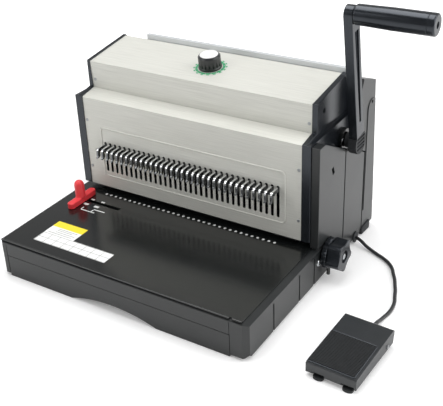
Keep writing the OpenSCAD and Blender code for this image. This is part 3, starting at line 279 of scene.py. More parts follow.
# Paper table: a steel sheet with a hemmed front edge, black powder coat over the whole.
# The coat has an orange-peel skin and enough gloss to mirror the silver front faintly.
coat, tree, shader, where = finish_named("black_powder_coat")
peel = add(tree, "ShaderNodeTexNoise", {"Vector": where, "Scale": 1 / (1.6 * MM), "Detail": 2.0})
cloud = add(tree, "ShaderNodeTexNoise", {"Vector": where, "Scale": 1 / (70 * MM), "Detail": 3.0})
clouded(shader, cloud.outputs["Fac"], "#0e1010", "#151717", 0.16, 0.22)
bump = add(tree, "ShaderNodeBump", {"Height": peel.outputs["Fac"], "Strength": 0.05, "Distance": 0.1 * MM})
fill(shader, {"Normal": bump.outputs["Normal"], "IOR": 1.68})
softened("paper_table", coat, edge=0.3, segments=2)

# Marks on the table: screen-printed ink, one dot in front of each hook, and a plain scale
# along the side stop's slot. The ink lies on the coat about 0.1 mm high.
row_count, row_middle, pitch = 34, -5, 25.4 / 3
row_start = row_middle - (row_count - 1) * pitch / 2
table_top, ink_lift, ink_height = 53.5, 0.04, 0.1
dot_inset, dot_row = 0.9, 168.6


def tree_with(name, sockets):
    """A tree of shapes with named inputs; returns it with those inputs."""
    made = bpy.data.node_groups.new(name, "GeometryNodeTree")
    made.interface.new_socket("Geometry", in_out="OUTPUT", socket_type="NodeSocketGeometry")
    for label, kind in sockets.items():
        made.interface.new_socket(label, in_out="INPUT", socket_type=kind)
    return made, add(made, "NodeGroupInput").outputs


def ended(tree, wanted, shape):
    """The end of each tree: every copy made real, and the finish put on."""
    solid = add(tree, "GeometryNodeRealizeInstances", {"Geometry": shape})
    coated = add(tree, "GeometryNodeSetMaterial", {"Geometry": solid.outputs["Geometry"],
                                                   "Material": wanted["Finish"]})
    add(tree, "NodeGroupOutput", {"Geometry": coated.outputs["Geometry"]})


def grown(name, tree, values, body):
    """Runs a tree of shapes with these values and keeps the result as a plain mesh that rides on a body."""
    piece = put_in(name, bpy.data.meshes.new(name + "_carrier"))
    modifier = piece.modifiers.new("grow", "NODES")
    modifier.node_group = tree
    for item in tree.interface.items_tree:
        if item.item_type == "SOCKET" and item.in_out == "INPUT" and item.name in values:
            modifier[item.identifier] = values[item.name]
    settled(piece)
    piece.data.name = name
    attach(piece, body)
    return piece


def printed_row(name, mark, sizes):
    """A tree that sets out a row of printed marks, each a flat solid of one kind with sizes of its own."""
    tree, wanted = tree_with(name, {"Count": "NodeSocketInt", "Start": "NodeSocketVector",
                                    "Step": "NodeSocketVector", "Finish": "NodeSocketMaterial", **sizes})
    line = add(tree, "GeometryNodeMeshLine", {"Count": wanted["Count"], "Start Location": wanted["Start"],
                                              "Offset": wanted["Step"]})
    flat = add(tree, mark, {size: wanted[size] for size in sizes})
    spread = add(tree, "GeometryNodeInstanceOnPoints", {"Points": line.outputs["Mesh"],
                                                        "Instance": flat.outputs["Mesh"]})
    ended(tree, wanted, spread.outputs["Instances"])
    return tree


def screen_ink(name, dark, light, roughness):
    """Ink pressed through a screen: opaque and dull, with small thin spots where the ground shows through."""
    material, tree, shader, where = finish_named(name)
    thin = add(tree, "ShaderNodeTexNoise", {"Vector": where, "Scale": 1 / (1.2 * MM), "Detail": 2.0})
    clouded(shader, thin.outputs["Fac"], dark, light)
    fill(shader, {"Roughness": roughness})
    return material


ink = screen_ink("white_screen_ink", "#b9bcbb", "#e4e6e4", 0.55)
dots = printed_row("printed_dots", "GeometryNodeMeshCylinder", {
    "Vertices": "NodeSocketInt", "Radius": "NodeSocketFloat", "Depth": "NodeSocketFloat"})
grown("hole_dots", dots, {
    "Count": row_count, "Start": place(row_start - dot_inset, dot_row, table_top + ink_lift),
    "Step": Vector((pitch, 0, 0)) * MM, "Vertices": 20, "Radius": 2.0 * MM, "Depth": ink_height * MM,
    "Finish": ink}, "machine")
ticks = printed_row("printed_ticks", "GeometryNodeMeshCube", {"Size": "NodeSocketVector"})
for name, count, x, y, step, wide, deep in (
        ("slot_ticks_rear", 2, -153, 146, 18.4, 6.0, 3.0),
        ("slot_ticks_front", 2, -153.5, 131.3, 18.4, 8.0, 4.4),
        ("slot_line_left", 1, -139, 115.9, 1, 24.0, 1.8),
        ("slot_line_right", 1, -124, 123.6, 1, 19.0, 1.8),
        ("slot_line_ends", 2, -151.4, 119.4, 18.0, 1.6, 6.0)):
    grown(name, ticks, {"Count": count, "Start": place(x, y, table_top + ink_lift),
                        "Step": Vector((step, 0, 0)) * MM, "Size": Vector((wide, deep, ink_height)) * MM,
                        "Finish": ink}, "machine")

# Sticker: a blank label of paper-faced film, with a plain yellow band and an empty ruled table.
# It is die cut in an L shape and stuck to the table. Its face is white, with a slight fibre.
label_left, label_step, label_right = -156, -104.5, -35
label_front, label_shelf, label_rear = 21.7, 43.4, 75.1
label_lift, label_thickness = 0.02, 0.12
label_width = label_right - label_left
table_depth, column_width, column_count, rule_width = 21, 15, 8, 0.6
band_front, band_rear = 40, 54
film, label_tree, shader, where = finish_named("printed_label_film")
spot = add(label_tree, "ShaderNodeSeparateXYZ", {"Vector": where}).outputs
corner = dict(zip("XYZ", place(label_left, label_front, 0)))


def between(axis, low, high):
    """1 where a point lies between two distances along X or Y from the label's front left corner, else 0."""
    start, end = corner[axis] + low * MM, corner[axis] + high * MM
    above = add(label_tree, "ShaderNodeMath", {0: spot[axis], 1: start}, operation="GREATER_THAN")
    below = add(label_tree, "ShaderNodeMath", {0: spot[axis], 1: end}, operation="LESS_THAN")
    both = add(label_tree, "ShaderNodeMath", {0: above.outputs[0], 1: below.outputs[0]}, operation="MULTIPLY")
    return both.outputs[0]


fibre = add(label_tree, "ShaderNodeTexNoise", {"Vector": where, "Scale": 1 / (2.5 * MM), "Detail": 3.0})
white = add(label_tree, "ShaderNodeMix", {"Factor": fibre.outputs["Fac"], "A": linear("#e3e4e2"),
                                          "B": linear("#f3f3f1")}, data_type="RGBA")
banded = add(label_tree, "ShaderNodeMix", {"Factor": between("Y", band_front, band_rear),
                                           "A": white.outputs["Result"], "B": linear("#efd92f")},
             data_type="RGBA")
face = banded.outputs["Result"]
rules = [(0, label_width, 0.6, 1.1), (0, label_width, 10.6, 11.2), (0, label_width, 20.8, 21.4),
         (4, 44, 25.0, 25.8), (14, 47, 29.0, 29.8), (14, 40, 33.0, 33.8), (14, 47, 36.4, 37.2)]
for column in range(column_count):
    left = rule_width + column * column_width
    rules.append((left, left + rule_width, 0, table_depth))
for left, right, low, high in rules:
    rule = add(label_tree, "ShaderNodeMath", {0: between("X", left, right), 1: between("Y", low, high)},
               operation="MULTIPLY")
    ruled = add(label_tree, "ShaderNodeMix", {"Factor": rule.outputs[0], "A": face, "B": linear("#5d6062")},
                data_type="RGBA")
    face = ruled.outputs["Result"]
fill(shader, {"Base Color": face, "Roughness": 0.4})


def shaped(name, work, material):
    """Turns a worked shape into an object with a finish."""
    mesh = bpy.data.meshes.new(name)
    work.to_mesh(mesh)
    work.free()
    mesh.materials.append(material)
    return put_in(name, mesh)


outline = [(label_left, label_front), (label_right, label_front), (label_right, label_shelf),
           (label_step, label_shelf), (label_step, label_rear), (label_left, label_rear)]
work = bmesh.new()
sheet = work.faces.new([work.verts.new(place(x, y, table_top + label_lift)) for x, y in outline])
for item in bmesh.ops.extrude_face_region(work, geom=[sheet])["geom"]:
    if isinstance(item, bmesh.types.BMVert):
        item.co.z += label_thickness * MM
bmesh.ops.recalc_face_normals(work, faces=work.faces)
label = shaped("blank_label", work, film)
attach(label, "machine")


# Punch set, inside: blanked and ground steel, on zinc-plated supports screwed to the frame.
# Only a little of it shows, through the throat, the slots and the closer's mouth.
# Grinding leaves short fine lines, drawn coarse enough to show, that break the shine.
def lined(name, length, width, detail, dark, light, smooth, dull, metallic):
    """A metal with fine lines of this length and width along the machine."""
    material, tree, shader, where = finish_named(name)
    stretch = add(tree, "ShaderNodeMapping", {"Vector": where, "Scale": (
        1 / (length * MM), 1 / (width * MM), 1 / (width * MM))})
    lines = add(tree, "ShaderNodeTexNoise", {"Vector": stretch.outputs["Vector"], "Scale": 1.0,
                                             "Detail": detail})
    clouded(shader, lines.outputs["Fac"], dark, light, smooth, dull)
    fill(shader, {"Metallic": metallic})
    return material


ground = lined("ground_tool_steel", 30, 0.5, 3.0, "#85898c", "#a9adb0", 0.25, 0.42, metallic=1.0)
for node in ("die_plate", "punch_pins", "lever_pinions", "punch_cams", "drive_gear", "back_gauge",
             "closer_jaw"):
    dress(node, ground)
for node in ("die_supports", "stop_clamp"):
    dress(node, zinc)

# Frame, ram and hook bar: steel plates and bars, cut to shape and dipped hot in blackening salts.
# They are dark, a little blue, and hold a cloudy film of oil.
oxide_black_and_painted_shade, tree, shader, where = finish_named("black_oxide_steel_and_painted_shade")
oil = add(tree, "ShaderNodeTexNoise", {"Vector": where, "Scale": 1 / (14 * MM), "Detail": 3.0})
clouded(shader, oil.outputs["Fac"], "#1a1c1e", "#2a2d30", 0.4, 0.55)
fill(shader, {"Metallic": 0.8})
# The same black is also painted on the walls of the panel's slots and the cover's screw slot: painted shade.
for node in ("side_frames", "hook_bar", "punch_ram", "stripper_plate", "hook_tie_rod", "guide_blocks"):
    dress(node, oxide_black_and_painted_shade)

# Shafts, rods and their bushes: bright steel bar, drawn through a die, in bushes of pressed bronze powder.
# The steel is bright and lined lengthwise; the bronze is a dull gold, its pores drawn coarse to show.
drawn = lined("bright_drawn_steel", 40, 0.4, 2.0, "#b3b7ba", "#cdd0d2", 0.16, 0.28, metallic=1.0)
for node in ("lever_shaft", "cam_shaft", "guide_rods", "dial_spindle"):
    dress(node, drawn)

bronze, tree, shader, where = finish_named("sintered_bronze")
pores = add(tree, "ShaderNodeTexNoise", {"Vector": where, "Scale": 1 / (0.7 * MM), "Detail": 2.0})
clouded(shader, pores.outputs["Fac"], "#8a6a3a", "#b08d55")
fill(shader, {"Metallic": 1.0, "Roughness": 0.45})
dress("shaft_bushes", bronze)

# Motor and gearbox: cast housings bolted inside the frame, sprayed with grey enamel.
# The enamel has a satin shine with a slight orange peel.
grey_enamel, tree, shader, where = finish_named("grey_motor_enamel")
peel = add(tree, "ShaderNodeTexNoise", {"Vector": where, "Scale": 1 / (3 * MM), "Detail": 2.0})
clouded(shader, peel.outputs["Fac"], "#4f5458", "#5d6266")
bump = add(tree, "ShaderNodeBump", {"Height": peel.outputs["Fac"], "Strength": 0.1, "Distance": 0.2 * MM})
fill(shader, {"Normal": bump.outputs["Normal"], "Roughness": 0.4})
for node in ("motor", "gearbox"):
    dress(node, grey_enamel)

# End plates: moulded from black nylon in a polished mould and screwed to the frame.
# Their gloss mirrors the room, so the edges are darker and the sides brighter than on the grained ABS.
gloss, tree, shader, where = finish_named("polished_black_nylon")
handling = add(tree, "ShaderNodeTexNoise", {"Vector": where, "Scale": 1 / (22 * MM), "Detail": 3.0})
clouded(shader, handling.outputs["Fac"], "#0e1013", "#191c20", 0.17, 0.29)
fill(shader, {"IOR": 1.58, "Specular Tint": linear("#ecf4ff")})
plate_face, plate_ledge, hood_reach, on_face = -178, 205, 2.6, 0.05


def slimmed(x, y, z):
    """Thins the left plate above the ledge, where the hood reaches further over it."""
    return (x - hood_reach if abs(x - plate_face) < on_face and z > plate_ledge else x), y, z


softened("left_end_plate", gloss, edge=1.0, segments=3, reshape=slimmed)
softened("right_end_plate", gloss, edge=1.0, segments=3)

# Right side covers: the base's black ABS, three pieces that meet at narrow joints
# below the pocket of the lever's bearing. The front one has a leaning slot for a screw.
# The rear cover and the bearing's flange are steel with the table's coat.
slot_y, slot_z, slot_lean = 218, 151, math.radians(20)
slot_half_width, slot_half_length, slot_widening = 1.7, 5.3, 0.7
shaded_wall_half_width, shaded_wall_half_length = 2.8, 5.4
cover_inside, cover_joints, cover_gap_half, cover_opening = 180, (256, 320), 0.5, 2.2


def in_slot(y, z):
    """Where a point lies in the leaning slot: across it and along it, from its middle."""
    return ((y - slot_y) * math.cos(slot_lean) + (z - slot_z) * math.sin(slot_lean),
            (z - slot_z) * math.cos(slot_lean) - (y - slot_y) * math.sin(slot_lean))


def parted(x, y, z):
    """Sets the covers' meeting edges back from each joint, for a dark line, and widens the screw slot."""
    across, along = in_slot(y, z)
    if abs(across) < slot_half_width and abs(along) < slot_half_length and x > cover_inside:
        wider = across * slot_widening
        return x, y + wider * math.cos(slot_lean), z + wider * math.sin(slot_lean)
    for joint_y in cover_joints:
        if abs(abs(y - joint_y) - cover_gap_half) < on_face:
            return x, joint_y + (y - joint_y) * cover_opening, z
    return x, y, z


for node in ("side_cover_front", "side_cover_middle", "side_cover_rear"):
    cover = softened(node, abs_black, edge=0.8, segments=3, reshape=parted)
    # The walls of the screw slot take the black oxide finish as painted shade.
    cover.data.materials.append(oxide_black_and_painted_shade)
    for side in cover.data.polygons:
        _, y, z = measured(side.center)
        across, along = in_slot(y, z)
        if abs(across) < shaded_wall_half_width and abs(along) < shaded_wall_half_length:
            side.material_index = 1
softened("rear_cover", coat, edge=0.3, segments=2)
softened("bearing_flange", coat, edge=0.4, segments=2)

# Silver covers: folded sheet steel, the slotted panel below and the hood above.
# The sheet was brushed lengthwise before its silver coat, so faint streaks run along it. They and the
# coat's flake are drawn coarser than they are, to show. The walls of the slots are painted black,
# as painted shade.
silver, tree, shader, where = finish_named("silver_flake_powder_coat")
flake = add(tree, "ShaderNodeTexVoronoi", {"Vector": where, "Scale": 1 / (0.7 * MM)})
cloud = add(tree, "ShaderNodeTexNoise", {"Vector": where, "Scale": 1 / (60 * MM), "Detail": 2.0})
stretch = add(tree, "ShaderNodeMapping", {"Vector": where, "Scale": (
    1 / (45 * MM), 1 / (1.1 * MM), 1 / (1.1 * MM))})
brushed = add(tree, "ShaderNodeTexNoise", {"Vector": stretch.outputs["Vector"], "Scale": 1.0, "Detail": 3.0})
streaks = add(tree, "ShaderNodeMapRange", {"Value": brushed.outputs["Fac"], "From Min": 0.3, "From Max": 0.7})
shade = add(tree, "ShaderNodeMix", {"Factor": streaks.outputs["Result"], "A": linear("#c2c2bb"),
                                    "B": linear("#dadad3")}, data_type="RGBA")
tone = add(tree, "ShaderNodeMix", {"Factor": cloud.outputs["Fac"], "A": shade.outputs["Result"],
                                   "B": linear("#cfcfc8")}, data_type="RGBA")
rough = add(tree, "ShaderNodeMapRange", {"Value": flake.outputs["Distance"], "To Min": 0.42, "To Max": 0.55})
bump = add(tree, "ShaderNodeBump", {"Height": flake.outputs["Distance"], "Strength": 0.04,
                                    "Distance": 0.05 * MM})
fill(shader, {"Base Color": tone.outputs["Result"], "Roughness": rough.outputs["Result"],
              "Normal": bump.outputs["Normal"], "Metallic": 0.25})
hook_slot_bottom, hook_slot_top, hook_slot_half, hook_slot_opening = 88, 135.2, 1.75, 1.22
groove_left, groove_right, groove_rear, groove_shift = 139, 141.2, 178.5, 4.3
panel_middle, panel_reach, side_on = 177, 3, 0.6


def nearest_place(x):
    """The X of the nearest place in the row of slots and hooks."""
    return row_start + round((x - row_start) / pitch) * pitch


def opened(x, y, z):
    """Opens each slot a little, and carries the groove at the right out to the pressed bead."""
    own = nearest_place(x)
    if abs(x - own) < hook_slot_half and hook_slot_bottom < z < hook_slot_top:
        return own + (x - own) * hook_slot_opening, y, z
    if groove_left < x < groove_right and y < groove_rear:
        return x + groove_shift, y, z
    return x, y, z


def reaching(x, y, z):
    """Lets the hood's left end reach over the slimmed end plate."""
    return (x - hood_reach if abs(x - plate_face) < on_face else x), y, z


panel = softened("hook_panel", silver, edge=0.35, segments=2, reshape=opened)
# The walls of the slots take the black oxide finish as painted shade.
panel.data.materials.append(oxide_black_and_painted_shade)
for side in panel.data.polygons:
    _, y, z = measured(side.center)
    in_sheet = abs(y - panel_middle) < panel_reach and hook_slot_bottom < z < hook_slot_top
    if in_sheet and abs(side.normal.y) < side_on:
        side.material_index = 1
softened("top_cover", silver, edge=0.7, segments=3, reshape=reaching)

# Bead: a low rounded rib all round the slots, to stiffen the panel.
# It was pressed into the sheet from behind before brushing, so it has the panel's own silver.
ribs, wanted = tree_with("pressed_bead", {
    "Width": "NodeSocketFloat", "Height": "NodeSocketFloat", "Corner": "NodeSocketFloat",
    "Rib": "NodeSocketFloat", "Centre": "NodeSocketVector", "Turn": "NodeSocketVector",
    "Finish": "NodeSocketMaterial"})
loop = add(ribs, "GeometryNodeCurvePrimitiveQuadrilateral", {"Width": wanted["Width"],
                                                             "Height": wanted["Height"]})
eased = add(ribs, "GeometryNodeFilletCurve", {"Curve": loop.outputs["Curve"], "Radius": wanted["Corner"],
                                              "Count": 8}, mode="POLY")
round_rib = add(ribs, "GeometryNodeCurvePrimitiveCircle", {"Resolution": 16, "Radius": wanted["Rib"]})
swept = add(ribs, "GeometryNodeCurveToMesh", {"Curve": eased.outputs["Curve"],
                                              "Profile Curve": round_rib.outputs["Curve"]})
stood = add(ribs, "GeometryNodeTransform", {"Geometry": swept.outputs["Mesh"],
                                            "Translation": wanted["Centre"], "Rotation": wanted["Turn"]})
ended(ribs, wanted, stood.outputs["Geometry"])
facing_front = (math.radians(90), 0, 0)
bead = grown("panel_bead", ribs, {
    "Width": 295.0 * MM, "Height": 75.0 * MM, "Corner": 6.0 * MM, "Rib": 1.3 * MM,
    "Centre": place(-3.0, 177.3, 118.7), "Turn": facing_front, "Finish": silver}, "machine")
bead.data.shade_smooth()

# Screws: pan heads with a cross recess, turned from steel and zinc plated.
# They hold the silver covers; a bright stud and two bolts of drawn steel sit at the right side.
head_sides, cross_share, cross_depth, middle_depth = 24, 0.3, 0.5, 0.6
crown_height = 0.9
head_profile = [(0.9, 0.86), (1.6, 0.7), (2.1, 0.42), (2.3, 0.0)]
head = bmesh.new()
crown = head.verts.new((0, 0, crown_height * MM))
rings = []
for radius, height in head_profile:
    rings.append([head.verts.new((radius * MM * math.cos(a), radius * MM * math.sin(a), height * MM))
                  for a in (math.tau * k / head_sides for k in range(head_sides))])
for k in range(head_sides):
    after = (k + 1) % head_sides
    head.faces.new((crown, rings[0][k], rings[0][after]))
    for inner, outer in zip(rings, rings[1:]):
        head.faces.new((inner[k], outer[k], outer[after], inner[after]))
for vert in rings[0]:
    if abs(math.sin(2 * math.atan2(vert.co.y, vert.co.x))) < cross_share:
        vert.co.z -= cross_depth * MM
crown.co.z -= middle_depth * MM
bmesh.ops.recalc_face_normals(head, faces=head.faces)
head_mesh = bpy.data.meshes.new("screw_head")
head.to_mesh(head_mesh)
head.free()
head_mesh.shade_smooth()
head_model = bpy.data.objects.new("screw_head", head_mesh)

screws, wanted = tree_with("screw_places", {
    "Head": "NodeSocketObject", "Places": "NodeSocketObject", "Turn": "NodeSocketVector",
    "Scale": "NodeSocketFloat", "Finish": "NodeSocketMaterial"})
spots = add(screws, "GeometryNodeObjectInfo", {"Object": wanted["Places"]})
model = add(screws, "GeometryNodeObjectInfo", {"Object": wanted["Head"]})
turn = add(screws, "FunctionNodeEulerToRotation", {"Euler": wanted["Turn"]})
spread = add(screws, "GeometryNodeInstanceOnPoints", {
    "Points": spots.outputs["Geometry"], "Instance": model.outputs["Geometry"],
    "Rotation": turn.outputs["Rotation"], "Scale": wanted["Scale"]})
ended(screws, wanted, spread.outputs["Instances"])
facing_right = (0, math.radians(90), 0)
pivot_y, pivot_z = 270, 172
flange_face, bolt_circle, bolt_angles = 185.5, 12.5, (20, 160)
cover_spots = [(x, y, z) for x in (-174, 164) for y, z in ((177, 91), (177, 164), (204, 216.5))]
stud_spot = (190.5, 184.5, 30.7)
bolt_spots = [(flange_face, pivot_y + bolt_circle * math.cos(a), pivot_z + bolt_circle * math.sin(a))
              for a in map(math.radians, bolt_angles)]
for name, turned, size, finish, spots_mm in (
        ("panel_screws", facing_front, 1.0, zinc, cover_spots),
        ("side_stud", facing_right, 2.2, drawn, [stud_spot]),
        ("flange_bolts", facing_right, 0.86, drawn, bolt_spots)):
    spots_mesh = bpy.data.meshes.new(name + "_spots")
    spots_mesh.from_pydata([place(*p) for p in spots_mm], [], [])
    spots_object = bpy.data.objects.new(name + "_spots", spots_mesh)
    grown(name, screws, {"Head": head_model, "Places": spots_object, "Turn": turned,
                                        "Scale": size, "Finish": finish}, "machine")
    bpy.data.objects.remove(spots_object)
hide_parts("cover_screws")
bpy.data.objects.remove(head_model)

# Hooks: flat steel blanks with a down-turned finger, nickel plated, one behind each slot.
# A thin rod runs through their elbows.
# The upward faces of the elbows are painted near white, as painted highlight; the rest of each hook is
# a darker grey, as painted shade, with a slight haze.
nickel, tree, shader, where = finish_named("nickel_plated_steel")
elbow_low, elbow_high, highlight_from, highlight_to = 119, 123, 0.1, 0.6
haze = add(tree, "ShaderNodeTexNoise", {"Vector": where, "Scale": 1 / (2.2 * MM), "Detail": 3.0})
shaded_grey = add(tree, "ShaderNodeMix", {"Factor": haze.outputs["Fac"], "A": linear("#67696b"),
                                        "B": linear("#808284")}, data_type="RGBA")
# Painted highlight: faces that look upward, at the elbows' height, turn near white.
facing = add(tree, "ShaderNodeNewGeometry").outputs["Normal"]
upward = add(tree, "ShaderNodeSeparateXYZ", {"Vector": facing}).outputs["Z"]
facing_up = add(tree, "ShaderNodeMapRange", {"Value": upward, "From Min": highlight_from, "From Max": highlight_to})
height = add(tree, "ShaderNodeSeparateXYZ", {"Vector": where}).outputs["Z"]
elbow = add(tree, "ShaderNodeMapRange", {"Value": height, "From Min": elbow_low * MM,
                                         "From Max": elbow_high * MM})
painted_highlight = add(tree, "ShaderNodeMath", {0: facing_up.outputs["Result"], 1: elbow.outputs["Result"]},
           operation="MULTIPLY")
tone = add(tree, "ShaderNodeMix", {"Factor": painted_highlight.outputs[0], "A": shaded_grey.outputs["Result"],
                                   "B": linear("#e6e8e9")}, data_type="RGBA")
rough = add(tree, "ShaderNodeMapRange", {"Value": haze.outputs["Fac"], "To Min": 0.18, "To Max": 0.32})
fill(shader, {"Base Color": tone.outputs["Result"], "Roughness": rough.outputs["Result"], "Metallic": 1.0})
hook_thickening, finger_rise, finger_rear, finger_top, finger_ease = 1.3, 2.0, 176.5, 121, 4


def thicker(x, y, z):
    """Widens each blank about its own place in the row, as photographed, and shortens its finger."""
    own = nearest_place(x)
    share = min(1.0, max(0.0, (finger_top - z) / finger_ease)) if y < finger_rear else 0.0
    return own + (x - own) * hook_thickening, y, z + finger_rise * share


softened("wire_hooks", nickel, edge=0.8, segments=3, reshape=thicker)

# Closer: an aluminium rail behind the hood, the fixed jaw that the lower jaw closes the wire against.
# It is extruded and mill finished, so it is pale and satin, with lengthwise die lines.
mill = lined("mill_finish_aluminium", 90, 0.6, 3.0, "#c8cbce", "#e0e3e5", 0.3, 0.45, metallic=0.6)
rail_edge, rail_edge_lowered = 257, 251.0


def lowered(x, y, z):
    """Brings the rail's lower edge down behind the hood, so that no gap shows below it."""
    return x, y, rail_edge_lowered if abs(z - rail_edge) < on_face else z


softened("closer_rail", mill, edge=0.4, segments=2, reshape=lowered)

# Lever: an arm in the end plates' glossy black, keyed to the shaft, with a long recess in its outer face.
# Its hub is dipped in dull rubber. The grip is a hard sleeve with a moulded cap.
lever_lean, hub_reach = math.radians(10.7), 11
arm_up = Vector((0, -math.sin(lever_lean), math.cos(lever_lean)))
hub_top = place(0, pivot_y, pivot_z) + arm_up * hub_reach * MM
arm = softened("lever_arm", gloss, edge=0.9, segments=3)
arm.data.materials.append(rubber)
work = bmesh.new()
work.from_mesh(arm.data)
whole = work.verts[:] + work.edges[:] + work.faces[:]
bmesh.ops.bisect_plane(work, geom=whole, plane_co=hub_top, plane_no=arm_up)
for side in work.faces:
    if (side.calc_center_median() - hub_top).dot(arm_up) < 0:
        side.material_index = 1
work.to_mesh(arm.data)
work.free()
faired(arm.data)
softened("lever_grip", gloss, edge=0.6, segments=3)
softened("grip_cap", gloss, edge=0.8, segments=3)

# Size dial: a fluted black knob with a satin cap of metal foil, on a printed ring of plain green segments.
# It turns on a spindle through the sloping hood. The foil is pale and blurs what it mirrors.
cap_metal, tree, shader, where = finish_named("satin_cap_foil")
spin = add(tree, "ShaderNodeTexNoise", {"Vector": where, "Scale": 1 / (1.5 * MM), "Detail": 2.0})
clouded(shader, spin.outputs["Fac"], "#e2e3e1", "#f4f4f2")
fill(shader, {"Metallic": 0.25, "Roughness": 0.3})
hood_front_y, hood_front_z, hood_rear_y, hood_rear_z = 204, 242.5, 290, 254
hood_slope = math.atan((hood_rear_z - hood_front_z) / (hood_rear_y - hood_front_y))
dial_x, dial_y = row_middle, 246
dial_z = hood_front_z + (dial_y - hood_front_y) * math.tan(hood_slope)
dial_axis = Vector((0, -math.sin(hood_slope), math.cos(hood_slope)))
knob_radius, knob_skirt, knob_taper, knob_height, knob_filling = 15.0, 3.5, 13, 18, 0.1
flute_low, flute_high, flute_floor, flute_rim, flute_deepening = 3.6, 16.8, 2.0, 0.1, 0.7


def fuller(x, y, z):
    """Fills the knob out towards its top, so that its sides stand nearly upright, and deepens its flutes."""
    offset = Vector((x - dial_x, y - dial_y, z - dial_z))
    along = offset.dot(dial_axis)
    outward = offset - dial_axis * along
    side = knob_radius - (along - knob_skirt) / knob_taper
    if flute_low < along < flute_high and side - flute_floor < outward.length < side - flute_rim:
        outward *= 1 - flute_deepening / outward.length
    wider = dial_axis * along + outward * (1 + knob_filling * min(1.0, max(0.0, along / knob_height)))
    return wider.x + dial_x, wider.y + dial_y, wider.z + dial_z


softened("dial_knob", abs_black, edge=0.4, segments=2, reshape=fuller)
softened("dial_cap", cap_metal, edge=1.0, segments=4, reshape=fuller)

green_ink = screen_ink("green_screen_ink", "#1f8a57", "#3fae7a", 0.5)
segments, wanted = tree_with("dial_segments", {
    "Count": "NodeSocketInt", "Radius": "NodeSocketFloat", "Block": "NodeSocketVector",
    "Foot": "NodeSocketVector", "Tilt": "NodeSocketVector", "Finish": "NodeSocketMaterial"})
ring = add(segments, "GeometryNodeMeshCircle", {"Vertices": wanted["Count"], "Radius": wanted["Radius"]})
block = add(segments, "GeometryNodeMeshCube", {"Size": wanted["Block"]})
outward = add(segments, "GeometryNodeInputPosition")
aim = add(segments, "FunctionNodeAlignRotationToVector", {"Vector": outward.outputs[0]}, axis="Y")
spread = add(segments, "GeometryNodeInstanceOnPoints", {
    "Points": ring.outputs["Mesh"], "Instance": block.outputs["Mesh"], "Rotation": aim.outputs["Rotation"]})
set_down = add(segments, "GeometryNodeTransform", {"Geometry": spread.outputs["Instances"],
                                                   "Translation": wanted["Foot"], "Rotation": wanted["Tilt"]})
ended(segments, wanted, set_down.outputs["Geometry"])
dial_foot = place(dial_x, dial_y, dial_z) + dial_axis * ink_lift * MM
for name, radius, wide, deep in (("dial_ring", 19.0, 6.8, 3.4), ("dial_marks", 22.4, 3.8, 2.0)):
    printed = grown(name, segments, {"Count": 16, "Radius": radius * MM,
                                     "Block": Vector((wide, deep, ink_height)) * MM, "Foot": dial_foot,
                                     "Tilt": (hood_slope, 0, 0), "Finish": green_ink}, "machine")

# Margin knob: a five-cornered knob, moulded in the glossy nylon, on a drawn steel shaft.
# It turns in a coated collar on the base's right side and shifts the gauge behind the punches.
softened("margin_knob", gloss, edge=1.6, segments=4)
dress("knob_shaft", drawn)
softened("knob_collar", coat, edge=0.5, segments=2)

# Knob guard: a ring with a scalloped rim, moulded in the same nylon as the knob.
# It is pushed over the collar, behind the knob, against the base's side.
rim_points, scallops, scallop = 96, 16, 0.9
ring_inner, ring_outer = 11.2, 20.6
knob_y, knob_z = 205, 37
guard_levels = ((193.2, 0.0), (198.6, 0.0), (199.6, 1.0))
guard = bmesh.new()
loops = []
for x, drawn_in in guard_levels:
    rim = []
    bore = []
    for k in range(rim_points):
        angle = math.tau * k / rim_points
        radius = ring_outer - drawn_in + scallop * math.cos(scallops * angle)
        for edge, reach in ((rim, radius), (bore, ring_inner)):
            point = place(x, knob_y + reach * math.cos(angle), knob_z + reach * math.sin(angle))
            edge.append(guard.verts.new(point))
    loops.append((rim, bore))
for k in range(rim_points):
    after = (k + 1) % rim_points
    for (rim_a, bore_a), (rim_b, bore_b) in zip(loops, loops[1:]):
        guard.faces.new((rim_a[k], rim_a[after], rim_b[after], rim_b[k]))
        guard.faces.new((bore_a[k], bore_b[k], bore_b[after], bore_a[after]))
    for rim, bore in (loops[0], loops[-1]):
        guard.faces.new((rim[k], bore[k], bore[after], rim[after]))
bmesh.ops.recalc_face_normals(guard, faces=guard.faces)
knob_guard = shaped("knob_guard", guard, gloss)
faired(knob_guard.data)
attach(knob_guard, "machine")

# Side stop: a red polypropylene slider with a post to push it by, held to the table by a clamp below.
# The moulding has large fillets and a soft gloss, with faint flow marks.
red, tree, shader, where = finish_named("red_polypropylene")
flow = add(tree, "ShaderNodeTexNoise", {"Vector": where, "Scale": 1 / (12 * MM), "Detail": 2.0})
clouded(shader, flow.outputs["Fac"], "#d83038", "#ea4449", 0.28, 0.4)
fill(shader, {"IOR": 1.49})
bar_top, bar_right, bar_forward = 62.4, 2.4, 2.0
post_foot, post_growth = 64.0, 0.16


def drawn_up(x, y, z):
    """Raises the post, and sets the bar below it a little forward and to the right."""
    if z < bar_top:
        return x + bar_right, y - bar_forward, z
    return x, y, z + max(0.0, z - post_foot) * post_growth


stop = softened("side_stop", red, edge=1.4, segments=4, reshape=drawn_up)
wrap = stop.modifiers.new("wrap", "REMESH")
wrap.mode = "VOXEL"
wrap.voxel_size = 0.5 * MM
ease = stop.modifiers.new("ease", "SMOOTH")
ease.factor = 0.5
ease.iterations = 14
settled(stop)
stop.data.shade_smooth()

# Rear fittings: a mains inlet and a rocker switch in its frame, moulded in black ABS.
# They snap into openings of the rear cover.
softened("mains_inlet", abs_black, edge=0.3, segments=2)
softened("switch_frame", abs_black, edge=0.3, segments=2)
softened("power_switch", abs_black, edge=0.4, segments=2)

